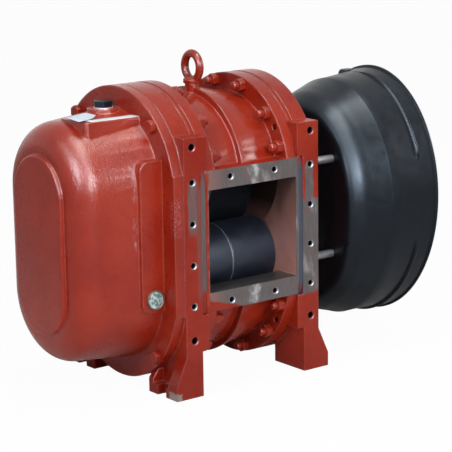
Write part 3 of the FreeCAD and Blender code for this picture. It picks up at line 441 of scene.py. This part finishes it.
def plateMask(tree, where, x, y, z):
    ragged = wander(tree, where, 75.0, plateSteel["ragged"], 0.55)
    onLeft = maths(tree, "LESS_THAN", x, 0.0)
    height = maths(tree, "ADD", z, ragged)
    lift = maths(tree, "MULTIPLY", onLeft, plateSteel["leftLift"])
    window = times(tree, band(tree, height, *plateSteel["window"], 0.010),
                   softStep(tree, maths(tree, "SUBTRACT", z, lift), *plateSteel["bottom"]),
                   maths(tree, "GREATER_THAN", absolute(tree, y), plateSteel["outside"]))
    inside = maths(tree, "LESS_THAN", absolute(tree, x), plateSteel["innerHalf"])
    strokes = noise(tree, where, 90.0, 4.0, 0.6, (1.0, 1.0, 0.25))
    right = mixColour(tree, strokes, plateSteel["edge"], tuple(1.9 * c for c in plateSteel["edge"]))
    left = mixColour(tree, strokes, plateSteel["leftEdge"],
                     tuple(1.6 * c for c in plateSteel["leftEdge"]))
    edge = mixColour(tree, onLeft, right, left)
    # the inner face darkens towards its top: painted shade
    shaded = remap(tree, z, *plateSteel["innerShade"], 0.0, 1.0)
    inner = mixColour(tree, shaded, plateSteel["inner"], plateSteel["innerTop"])
    metal = mixNumber(tree, inside, 0.4, 0.0)
    return largest(tree, window, inside), mixColour(tree, inside, edge, inner), metal


# The gear cover: pale scuffs beside the long pad and on the flange's ledge
coverScuffs = {
    "across": (-0.1865, -0.1805),
    "heights": ((0.070, 0.125), (0.000, 0.055)),
    "front": -0.09,
    "share": 0.6,
    "ledgeShare": 0.55,
    "ledge": ((-0.1460, -0.1285), (-0.150, -0.134), (0.016, 0.068)),
    "colour": (0.40, 0.30, 0.31),
}


def coverMask(tree, where, x, y, z):
    streaks = softStep(tree, noise(tree, where, 130.0, 4.0, 0.75, (1.0, 1.0, 0.35)), 0.47, 0.66)
    rows = largest(tree, *(band(tree, z, *span, 0.012) for span in coverScuffs["heights"]))
    near = times(tree, band(tree, x, *coverScuffs["across"], 0.002),
                 maths(tree, "LESS_THAN", y, coverScuffs["front"]))
    beside = times(tree, near, rows, streaks, coverScuffs["share"])
    flecks = softStep(tree, noise(tree, where, 520.0, 3.0, 0.7, (1.0, 1.0, 0.6)), 0.50, 0.66)
    onLedge = patch(tree, (x, y, z), coverScuffs["ledge"], 0.006)
    ledge = times(tree, onLedge, flecks, coverScuffs["ledgeShare"])
    return largest(tree, beside, ledge), coverScuffs["colour"], 0.0


# Plain metals: strokes of two tones, with dirt between them
dirtColour = (0.09, 0.075, 0.06)


def metalFinish(name, colour, roughness, brushed=None, metallic=0.9, stain=0.35):
    material, tree, shader, where = newFinish(name)
    strokes = noise(tree, where, 140.0, 4.0, 0.6, brushed)
    dark = tuple(c * 0.55 for c in colour)
    tone = mixColour(tree, strokes, dark, colour)
    dirt = softStep(tree, noise(tree, where, 60.0, 4.0), 0.5, 0.8)
    tone = mixColour(tree, maths(tree, "MULTIPLY", dirt, stain), tone, dirtColour)
    gloss = remap(tree, strokes, 0.3, 0.7, roughness * 0.75, roughness * 1.3)
    feed(tree, shader, {"Base Color": tone, "Roughness": gloss, "Metallic": metallic,
                        "Normal": bump(tree, strokes, 0.00015, 0.5)})
    return material


# Dark plastic and rubber: grain and height shape the skin, dust lightens it in broad patches
def darkFinish(name, colour, lighter, roughness, grain, height, specular=0.35, dustScale=14.0,
               tint=(1.0, 1.0, 1.0)):
    material, tree, shader, where = newFinish(name)
    dust = softStep(tree, noise(tree, where, dustScale, 5.0, 0.65), 0.45, 0.85)
    rub = noise(tree, where, 55.0, 4.0, 0.6)
    gloss = remap(tree, rub, 0.3, 0.7, roughness * 0.85, roughness * 1.2)
    skin = bump(tree, noise(tree, where, grain, 3.0), height, 0.5)
    feed(tree, shader, {"Base Color": mixColour(tree, dust, colour, lighter), "Roughness": gloss,
                        "Normal": skin, "Specular IOR Level": specular, "Specular Tint": (*tint, 1.0)})
    return material


def paperFinish(name, colour):
    material, tree, shader, where = newFinish(name)
    cloudy = noise(tree, where, 90.0, 3.0)
    shade = tuple(c * 0.86 for c in colour)
    fibres = bump(tree, noise(tree, where, 700.0, 2.0), 0.00005, 0.4)
    feed(tree, shader, {"Base Color": mixColour(tree, cloudy, shade, colour), "Normal": fibres,
                        "Roughness": 0.5})
    return material


# A glass with an oily film behind it, so it reads as a mottled disc
glassTones = {"dark": (0.11, 0.19, 0.19), "pale": (0.50, 0.64, 0.60)}


def glassFinish(name):
    material, tree, shader, where = newFinish(name)
    film = softStep(tree, noise(tree, where, 210.0, 4.0, 0.65), 0.42, 0.60)
    tone = mixColour(tree, film, glassTones["dark"], glassTones["pale"])
    feed(tree, shader, {"Base Color": tone, "Roughness": 0.12, "Coat Weight": 0.6, "Coat Roughness": 0.04})
    return material


finishes = {
    "red_casting_paint": redFinish("redCastingPaint"),
    "red_fastener_paint": redFinish("redFastenerPaint", grain=420.0, grainHeight=0.0002, waveHeight=0.0003,
                                    roughness=(0.20, 0.32), coat=0.6),
    "wear_plate_steel": redFinish("wearPlatePaint", plateMask, grainHeight=0.0002),
    "lobe_rubber": darkFinish("lobeRubber", (0.007, 0.0085, 0.016), (0.018, 0.022, 0.040), 0.40, 160.0,
                              0.0004, specular=0.60, dustScale=22.0, tint=(0.70, 0.80, 1.0)),
    "shaded_rubber": darkFinish("shadedRubber", (0.0035, 0.0040, 0.0060), (0.009, 0.010, 0.014), 0.50, 160.0,
                                0.0004, specular=0.22, dustScale=22.0, tint=(0.80, 0.86, 1.0)),
    "rotor_iron": metalFinish("rotorIron", (0.30, 0.30, 0.31), 0.42, (4.0, 1.0, 1.0), 0.7),
    "shaft_steel": metalFinish("shaftSteel", (0.42, 0.41, 0.40), 0.28, (1.0, 6.0, 6.0)),
    "gear_steel": metalFinish("gearSteel", (0.33, 0.32, 0.31), 0.30, (6.0, 1.0, 1.0)),
    "bearing_steel": metalFinish("bearingSteel", (0.50, 0.50, 0.50), 0.18, (8.0, 1.0, 1.0), 0.95, 0.1),
    "seal_face": metalFinish("sealFace", (0.10, 0.10, 0.11), 0.25, (8.0, 1.0, 1.0), 0.4, 0.1),
    "gasket_sheet": darkFinish("gasketSheet", (0.13, 0.014, 0.008), (0.20, 0.030, 0.018), 0.6, 300.0,
                               0.0002),   # painted over with the castings
    "bare_steel": metalFinish("bareSteel", (0.30, 0.30, 0.32), 0.36, (10.0, 1.0, 1.0), 0.8),
    "zinc_steel": metalFinish("zincSteel", (0.48, 0.48, 0.46), 0.32, (3.0, 3.0, 3.0)),
    "guard_plastic": darkFinish("guardPlastic", (0.0035, 0.0042, 0.0060), (0.0065, 0.0075, 0.0095), 0.32,
                                45.0, 0.0002, specular=0.27, dustScale=9.0, tint=(0.70, 0.84, 1.0)),
    "black_plug": darkFinish("blackPlug", (0.003, 0.004, 0.007), (0.009, 0.011, 0.016), 0.30, 260.0,
                             0.0002, specular=0.35, dustScale=40.0, tint=(0.70, 0.85, 1.0)),
    "sealing_washer": metalFinish("sealingWasher", (0.72, 0.73, 0.74), 0.35, (4.0, 4.0, 4.0), 0.4, 0.1),
    "sight_ring_metal": metalFinish("sightRingMetal", (0.16, 0.10, 0.08), 0.4, (4.0, 4.0, 4.0), 0.6),
    "sight_glass": glassFinish("sightGlass"),
}
for row in frame["record"]["subparts"]:
    nodeMesh = frame["nodes"][row["node"]].data
    nodeMesh.materials.clear()
    nodeMesh.materials.append(finishes[row["material_slot"]])
print("finishes made:", len(finishes))


# A copy of a CAD node with rounded edges, worn smooth by casting or forging
def softCopy(node, name, finish, width, slotName, body="pump_body", segments=3, angle=25.0):
    mesh = frame["nodes"][node].data.copy()
    mesh.name = name
    work = bmesh.new()
    work.from_mesh(mesh)
    bmesh.ops.remove_doubles(work, verts=work.verts, dist=1e-6)
    bmesh.ops.dissolve_limit(work, angle_limit=math.radians(0.6), verts=work.verts, edges=work.edges)
    work.to_mesh(mesh)
    work.free()
    mesh.materials.clear()
    mesh.materials.append(finish)
    piece = addObject(name, mesh)
    bevel = piece.modifiers.new("softEdges", "BEVEL")
    bevel.width = width
    bevel.segments = segments
    bevel.limit_method = "ANGLE"
    bevel.angle_limit = math.radians(angle)
    bevel.use_clamp_overlap = True
    mesh.polygons.foreach_set("use_smooth", np.ones(len(mesh.polygons), bool))
    mesh.set_sharp_from_angle(angle=math.radians(35.0))
    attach(piece, body)
    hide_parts(node)
    return piece


red = "red_casting_paint"
bolted = "red_fastener_paint"
plate = "wear_plate_steel"
housingPaint = redFinish("housingPaint", sideBarMask)
coverPaint = redFinish("coverPaint", coverMask, grain=400.0, grainHeight=0.0006, waveHeight=0.0006, coat=0.58,
                       coatRoughness=0.06)
# node, piece name, finish, edge width, slot
softened = (
    ("pump_casing", "middleCasting", redFinish("casingPaint", portMask), 0.0016, red),
    ("gear_side_housing", "gearSideCasting", housingPaint, 0.0022, red),
    ("drive_side_housing", "driveSideCasting", housingPaint, 0.0022, red),
    ("gear_cover", "gearCoverCasting", coverPaint, 0.0030, red),
    ("gear_side_wear_plate", "gearSideWearPlate", finishes[plate], 0.0006, plate),
    ("drive_side_wear_plate", "driveSideWearPlate", finishes[plate], 0.0006, plate),
    ("drive_end_cover", "driveEndCover", finishes[red], 0.0015, red),
    ("gear_side_nuts", "gearSideNuts", finishes[bolted], 0.0009, bolted),
    ("drive_side_nuts", "driveSideNuts", finishes[bolted], 0.0009, bolted),
    ("gear_side_studs", "gearSideStuds", finishes[bolted], 0.0022, bolted),
    ("drive_side_studs", "driveSideStuds", finishes[bolted], 0.0022, bolted),
    ("gear_cover_bolts", "gearCoverBolts", finishes[bolted], 0.0009, bolted),
    ("lifting_eye_bolt", "liftingEyeBolt", finishes[bolted], 0.0010, bolted),
    ("oil_filler_plug", "fillerPlug", finishes["black_plug"], 0.0008, "black_plug"),
    ("oil_drain_plug", "drainPlug", finishes["black_plug"], 0.0008, "black_plug"),
    ("guard_studs", "guardStuds", finishes["bare_steel"], 0.0006, "bare_steel"),
)
for softRow in softened:
    softCopy(*softRow)
for side in ("left", "right"):
    for rotor, rubber in (("drive", "lobe_rubber"), ("idler", "shaded_rubber")):
        softCopy(f"{rotor}_rotor_rubber_{side}", f"{rotor}RotorRubber{side.title()}", finishes[rubber],
                 0.0008, "lobe_rubber", f"{rotor}_rotor")
print("castings, fasteners and rotors softened:", len(softened) + 4)


# Helpers for surfaces worked out on a grid of rows and columns
def smoothThrough(where, places, values):  # a cubic through the stations, with their own slopes
    places, values = np.array(places), np.array(values)
    slopes = np.gradient(values, places)
    i = np.clip(np.searchsorted(places, where, side="right") - 1, 0, len(places) - 2)
    span = places[i + 1] - places[i]
    t = (where - places[i]) / span
    return ((2 * t**3 - 3 * t**2 + 1) * values[i] + (t**3 - 2 * t**2 + t) * span * slopes[i]
            + (3 * t**2 - 2 * t**3) * values[i + 1] + (t**3 - t**2) * span * slopes[i + 1])


# Each point joins the next in its row and column, and a closed direction joins its last to its first
def surface(name, grid, finish, slotName, body="pump_body", rowsClosed=False, columnsClosed=False,
            sharp=40.0):
    rows, columns = grid.shape[:2]
    i, j = np.meshgrid(np.arange(rows - (not rowsClosed)), np.arange(columns - (not columnsClosed)),
                       indexing="ij")
    down, across = (i + 1) % rows, (j + 1) % columns
    quads = np.stack([i * columns + j, down * columns + j, down * columns + across, i * columns + across],
                     -1)
    mesh = bpy.data.meshes.new(name)
    mesh.from_pydata(grid.reshape(-1, 3).tolist(), [], quads.reshape(-1, 4).tolist())
    work = bmesh.new()
    work.from_mesh(mesh)
    bmesh.ops.remove_doubles(work, verts=work.verts, dist=1e-6)
    bmesh.ops.recalc_face_normals(work, faces=work.faces)
    work.to_mesh(mesh)
    work.free()
    mesh.polygons.foreach_set("use_smooth", np.ones(len(mesh.polygons), bool))
    mesh.set_sharp_from_angle(angle=math.radians(sharp))
    mesh.materials.append(finish)
    piece = addObject(name, mesh)
    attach(piece, body)
    return piece


# The guard: an oval that leans, bowl and barrel, with a rolled lip and a raised rib
guard = {
    "rimX": 0.353,
    "baseX": 0.199,
    "halfWidth": 0.161,
    "halfHeight": 0.2005,
    "wall": 0.004,
    "rise": (0.0033, -0.0040),     # at the rim and at the base
    "lean": (3.4, 1.9),            # degrees
    # distance from the rim, share of the rim's size
    "barrel": ((0.0046, 0.984), (0.033, 0.966), (0.068, 0.950), (0.0855, 0.947)),
    "step": 0.0865,
    "bowl": ((0.0875, 0.9425), (0.098, 0.924), (0.118, 0.890), (0.136, 0.856), (0.146, 0.820),
             (0.154, 0.785)),
    # distance from the rim, share of its size, how far inside that outline
    "lip": ((0.0040, 0.992, 0.0), (0.0034, 0.9990, 0.0), (0.0026, 1.0, 0.0), (0.0009, 1.0, 0.0),
            (0.0002, 1.0, 0.0004), (0.0, 1.0, 0.0010), (0.0, 1.0, 0.0032), (0.0005, 1.0, 0.0040)),
    "baseCorner": 0.007,
    "holeRadius": 0.050,
    "rib": (0.0276, 0.0346),       # from the rim
    "ribHeight": 0.0038,
    "ribGap": (0.234, 0.065),      # middle and half height of the gap at each side
    "ribFade": (76.0, 20.0),       # degrees round the top where the rib gives way to the bridge
    "flatTop": (0.0035, 62.0, 24.0),   # how far the rim is pressed down, where, how wide
    "flatEnd": 0.11,
    "columns": 224,
}


# Each row is an oval: its size follows the stations, its centre and lean change evenly from
# rim to base, and the wall is the same oval smaller by 4 mm
def guardGrid(look):
    turn = np.linspace(0.0, 2 * np.pi, look["columns"], endpoint=False)[None, :]
    depth = look["rimX"] - look["baseX"]

    def ovals(fromRim, scale, inset):
        fromRim, scale, inset = (np.atleast_1d(v)[:, None] for v in (fromRim, scale, inset))
        share = fromRim / depth
        rise = look["rise"][0] + (look["rise"][1] - look["rise"][0]) * share
        lean = np.radians(look["lean"][0] + (look["lean"][1] - look["lean"][0]) * share)
        tall = look["halfHeight"] * scale - inset
        wide = look["halfWidth"] * scale - inset
        y = wide * np.cos(lean) * np.cos(turn) - tall * np.sin(lean) * np.sin(turn)
        z = portCentreZ + rise + tall * np.cos(lean) * np.sin(turn) + wide * np.sin(lean) * np.cos(turn)
        drop, at, width = look["flatTop"]
        pressed = drop * np.exp(-((turn - np.radians(at)) / np.radians(width))**2)
        z = z - pressed * np.clip(1.0 - fromRim / look["flatEnd"], 0.0, 1.0)
        return np.stack([np.broadcast_to(look["rimX"] - fromRim, y.shape), y, z], -1)

    def sizeAt(fromRim):
        barrel, bowl = np.array(look["barrel"]), np.array(look["bowl"])
        return np.where(fromRim < look["step"], np.interp(fromRim, *barrel.T),
                        smoothThrough(fromRim, *bowl.T))

    corner, base = look["baseCorner"], depth
    swing = np.radians(np.linspace(0, 90, 7))
    cornerX = base - corner * (1 - np.cos(swing))
    cornerIn = corner * (1 - np.sin(swing))
    bowlX = np.linspace(base - corner, look["bowl"][0][0], 22)[1:]
    ribX = np.linspace(look["rib"][1], look["rib"][0], 9)
    barrelX = np.array([look["barrel"][-1][0], 0.068, 0.050, 0.040, *ribX, 0.020, 0.0110,
                        look["barrel"][0][0]])
    outerX = np.concatenate([cornerX, bowlX, barrelX])
    outerIn = np.concatenate([cornerIn, np.zeros(len(bowlX) + len(barrelX))])
    outer = ovals(outerX, sizeAt(outerX), outerIn)
    raised = ovals(outerX, sizeAt(outerX), outerIn - look["ribHeight"])
    middle, half = look["ribGap"]
    shown = np.clip((np.abs(outer[:, :, 2] - middle) - half) / 0.006, 0.0, 1.0)
    at, width = look["ribFade"]
    shown = shown * (1.0 - np.exp(-((np.degrees(turn) - at) / width)**4))
    away = (outerX - np.mean(look["rib"])) / (np.ptp(look["rib"]) / 2)
    hump = np.sqrt(np.clip(1.0 - away**2, 0.0, 1.0))
    outer = outer + (raised - outer) * (shown * hump[:, None])[:, :, None]
    rim = ovals(*np.array(look["lip"]).T)
    innerX = np.concatenate([[0.0040, 0.0075], np.linspace(0.012, base - look["wall"], 26)])
    innerIn = np.full(len(innerX), look["wall"])
    innerIn[-1] += 0.004
    inner = ovals(innerX, sizeAt(innerX), innerIn)

    # the base plate: straight lines from the oval to the hole for the shaft
    def plate(edgeRow, x, shares):
        hole = np.stack([np.full(turn.shape[1], x), look["holeRadius"] * np.cos(turn[0]),
                         lowerShaftZ + look["holeRadius"] * np.sin(turn[0])], -1)
        shares = np.array(shares)[:, None, None]
        return edgeRow * (1 - shares) + hole * shares

    shares = (0.25, 0.5, 0.75, 0.92, 1.0)
    outerPlate = plate(outer[:1], look["baseX"], shares)[::-1]
    innerPlate = plate(inner[-1:], look["baseX"] + look["wall"], shares)
    return np.concatenate([outerPlate, outer, rim, inner, innerPlate])


guardPiece = surface("guardShell", guardGrid(guard), finishes["guard_plastic"], "guard_plastic",
                     rowsClosed=True, columnsClosed=True, sharp=32.0)
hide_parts("guard_bell")
print("guard shell:", len(guardPiece.data.polygons), "faces")


# A small open bridge on top of the guard
bridge = {
    "x": (0.3190, 0.3450),
    "y": 0.028,
    "foot": 0.4120,
    "rise": 0.0068,
    "width": 0.018,
    "thickness": 0.0022,
}


# An arch along X, flat on top by a sixth power, with a rounded flat section carried along it
def bridgeGrid(look):
    u = np.linspace(-1, 1, 41)[:, None]
    turn = np.linspace(0, 2 * np.pi, 20, endpoint=False)[None, :]
    along = np.mean(look["x"]) + u * np.ptp(look["x"]) / 2
    middle = np.stack([along, look["foot"] + look["rise"] * (1 - u**6)], -1)
    slope = np.gradient(middle[:, 0, :], axis=0)
    slope /= np.linalg.norm(slope, axis=1, keepdims=True)
    side = np.sign(np.cos(turn)) * np.abs(np.cos(turn))**0.5 * look["width"] / 2
    out = np.sign(np.sin(turn)) * np.abs(np.sin(turn))**0.7 * look["thickness"] / 2
    x = middle[..., 0] - slope[:, 1:] * out
    z = middle[..., 1] + slope[:, :1] * out
    return np.stack([x, look["y"] + side + 0 * u, z], -1)


surface("guardBridge", bridgeGrid(bridge), finishes["guard_plastic"], "guard_plastic", columnsClosed=True,
        sharp=60.0)


# A profile of (distance from the axis, distance along it) carried round the axis
def turned(name, profile, centre, along, finish, slotName, segments=64, **settings):
    profile = np.array(profile)
    turn = np.linspace(0, 2 * np.pi, segments, endpoint=False)
    along = np.array(along, float)
    first = np.cross(along, (1.0, 0.0, 0.0) if abs(along[0]) < 0.9 else (0.0, 1.0, 0.0))
    first /= np.linalg.norm(first)
    second = np.cross(along, first)
    ring = np.cos(turn)[:, None] * first + np.sin(turn)[:, None] * second
    grid = (np.array(centre) + profile[:, None, 1:] * along + profile[:, None, :1] * ring[None])
    return surface(name, grid, finish, slotName, columnsClosed=True, **settings)


# The sight glass: a domed disc in a thin turned ring, whose face is the ring node's
sight = {
    "x": -0.157,
    "z": 0.148,
    "glass": 0.0122,     # radius of the disc
    "ring": 0.0145,      # outer radius of the ring
    "depth": 0.008,
    "dome": 0.0008,
    "sunk": 0.0014,
    "edge": 0.0012,
}
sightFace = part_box("sight_glass_ring")[0][1]
sightCentre = (sight["x"], sightFace, sight["z"])
glassTurns = np.linspace(0, np.pi / 2, 9)
glassDome = np.stack([sight["glass"] * np.sin(glassTurns),
                      sight["dome"] * np.cos(glassTurns) - sight["sunk"]], -1)
glassProfile = np.concatenate([glassDome, [[sight["glass"], -sight["depth"]], [0.0, -sight["depth"]]]])
glass = turned("sightGlassDisc", glassProfile, sightCentre, (0, -1, 0), finishes["sight_glass"],
               "sight_glass")
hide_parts("sight_glass")
inner, outer, depth = sight["glass"], sight["ring"], sight["depth"]
ringProfile = [(inner, -sight["edge"]), (inner + 0.0004, -0.0003), (inner + 0.0009, 0.0),
               (outer - 0.0010, 0.0), (outer - 0.0003, -0.0003), (outer, -0.0010),
               (outer, -depth), (inner, -depth), (inner, -sight["edge"])]
ring = turned("sightGlassRing", ringProfile, sightCentre, (0, -1, 0), finishes["sight_ring_metal"],
              "sight_ring_metal", sharp=30.0)
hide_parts("sight_glass_ring")


# Two blank labels on the gear cover: a strip along the pad's front edge, a sheet over its back
labels = {
    "strip": {"corners": ((-0.2215, -0.0625), (-0.1415, -0.0625), (-0.1415, -0.0440), (-0.2215, -0.0440)),
              "height": 0.40325, "curl": 0.0004, "colour": (0.80, 0.80, 0.82)},
    "sheet": {"corners": ((-0.2410, -0.0610), (-0.1930, -0.0300), (-0.1850, 0.0070), (-0.2320, -0.0070)),
              "height": 0.4040, "curl": 0.0022, "colour": (0.62, 0.70, 0.80)},
    "thickness": 0.0003,
}


# A patch between four corners; its edges lift a little, by the fourth power of the distance
def labelGrid(look):
    a, b, c, d = (np.array(corner) for corner in look["corners"])
    u, v = np.meshgrid(np.linspace(0, 1, 25), np.linspace(0, 1, 13), indexing="ij")
    u, v = u[..., None], v[..., None]
    flat = (1 - u) * (1 - v) * a + u * (1 - v) * b + u * v * c + (1 - u) * v * d
    towardsEdge = np.abs(2 * u - 1)**4 + 0.5 * np.abs(2 * v - 1)**4
    lift = look["curl"] * towardsEdge * (0.6 + 0.4 * np.sin(7 * u + 3 * v))
    return np.concatenate([flat, look["height"] + lift], -1)


for labelName in ("strip", "sheet"):
    labelLook = labels[labelName]
    paper = surface(f"blank{labelName.title()}", labelGrid(labelLook),
                    paperFinish(f"{labelName}Paper", labelLook["colour"]), "sealing_washer")
    paperWall = paper.modifiers.new("thickness", "SOLIDIFY")
    paperWall.thickness = labels["thickness"]
    paperWall.offset = 1.0
print("guard bridge, sight glass and labels made")


camera = {
    "azimuth": -37.49362325836112,
    "elevation": 12.41991028996938,
    "roll": -0.8373770853985039,
    "distance": 2.7106826,
    "right": 0.046784545,
    "up": -0.010945578,
    "lens": 142.995,
}


# The unit vector towards an azimuth from the front, to the right, and an elevation, in degrees
def direction(azimuth, elevation):
    a, e = math.radians(azimuth), math.radians(elevation)
    return Vector((math.sin(a) * math.cos(e), -math.cos(a) * math.cos(e), math.sin(e)))


# The camera stands back along its azimuth and elevation, moved right and up, then rolled
def placeCamera(c):
    roll = math.radians(c["roll"])
    back = direction(c["azimuth"], c["elevation"])
    level = (-back).cross(Vector((0, 0, 1))).normalized()
    upright = level.cross(-back)
    right = math.cos(roll) * level + math.sin(roll) * upright
    up = -math.sin(roll) * level + math.cos(roll) * upright
    data = bpy.data.cameras.new("photoCamera")
    data.lens = c["lens"]
    data.sensor_width = 36.0
    data.clip_start, data.clip_end = 0.1, 50.0
    made = addObject("photoCamera", data)
    place = Vector((0, 0, portCentreZ)) + back * c["distance"] + right * c["right"] + up * c["up"]
    turn = Matrix((right, up, back)).transposed().to_4x4()
    made.matrix_world = Matrix.Translation(place) @ turn
    bpy.context.scene.camera = made


placeCamera(camera)

# Soft boxes: name, direction from the pump (azimuth, elevation), distance, width, height, power,
# whether it lights the object or only shows in its gloss, and tint
studio = {
    "worldLight": 0.22,
    "floorHalf": 6.0,
    "floorColour": (0.74, 0.74, 0.74, 1.0),
    "floorWhite": 0.968,
    "lamps": (("leftLamp", -66.0, 28.0, 2.4, 0.5, 0.5, 19.0, True, (1.0, 1.0, 1.0)),
              ("frontLamp", -6.0, 24.0, 2.6, 0.5, 1.0, 34.0, True, (1.0, 1.0, 1.0)),
              ("topLamp", 0.0, 85.0, 2.3, 1.6, 0.4, 23.0, True, (1.0, 1.0, 1.0)),
              ("frontCard", -20.0, 36.0, 2.6, 1.4, 2.8, 105.0, False, (0.90, 0.95, 1.0)),
              ("windowCard", -88.0, 42.0, 2.6, 1.1, 1.0, 28.0, False, (0.90, 0.95, 1.0)),
              ("leftCard", -64.0, 26.0, 2.35, 0.7, 0.9, 55.0, False, (0.86, 0.88, 1.0)),
              ("spotCard", -12.0, 20.0, 2.3, 0.4, 0.5, 26.0, False, (0.88, 0.92, 1.0)),
              ("topCard", -16.0, 74.0, 2.5, 1.4, 1.1, 62.0, False, (1.0, 0.96, 0.84)),
              ("rightCard", 62.0, 18.0, 2.6, 0.5, 0.7, 24.0, False, (1.0, 0.97, 0.94))),
}


def addLamp(name, azimuth, elevation, distance, width, height, power, lights, tint):
    back = direction(azimuth, elevation)
    data = bpy.data.lights.new(name, "AREA")
    data.shape = "RECTANGLE"
    data.size, data.size_y = width, height
    data.energy = power
    data.color = tint
    lamp = addObject(name, data)
    lamp.location = Vector((0, 0, 0.24)) + back * distance
    lamp.rotation_mode = "QUATERNION"
    lamp.rotation_quaternion = (-back).to_track_quat("-Z", "Y")
    lamp.visible_diffuse = lights


for lampRow in studio["lamps"]:
    addLamp(*lampRow)

world = bpy.data.worlds.new("studioWorld")
bpy.context.scene.world = world
worldTree = emptyTree(world)
path = addNode(worldTree, "ShaderNodeLightPath")
seen = largest(worldTree, *(path.outputs[f"Is {kind} Ray"] for kind in ("Camera", "Glossy", "Transmission")))
level = mixNumber(worldTree, seen, studio["worldLight"], 1.0)
sky = addNode(worldTree, "ShaderNodeBackground", {"Color": (1.0, 1.0, 1.0, 1.0), "Strength": level})
addNode(worldTree, "ShaderNodeOutputWorld", {0: sky.outputs[0]})


def makeFloor(look):
    half = look["floorHalf"]
    corners = [(x * half, y * half, 0) for x, y in ((-1, -1), (1, -1), (1, 1), (-1, 1))]
    mesh = bpy.data.meshes.new("studioFloor")
    mesh.from_pydata(corners, [], [(0, 1, 2, 3)])
    floor = addObject("studioFloor", mesh)
    material = bpy.data.materials.new("paleFloor")
    tree = emptyTree(material)
    plain = addNode(tree, "ShaderNodeBsdfDiffuse", {"Color": look["floorColour"]})
    white = addNode(tree, "ShaderNodeEmission", {"Color": (1.0, 1.0, 1.0, 1.0), "Strength": 1.0})
    ray = addNode(tree, "ShaderNodeLightPath")
    share = maths(tree, "MULTIPLY", ray.outputs["Is Camera Ray"], look["floorWhite"])
    both = addNode(tree, "ShaderNodeMixShader", {0: share, 1: plain.outputs[0], 2: white.outputs[0]})
    addNode(tree, "ShaderNodeOutputMaterial", {0: both.outputs[0]})
    mesh.materials.append(material)


makeFloor(studio)
bpy.context.scene.view_settings.view_transform = "Standard"
print("camera and studio placed")
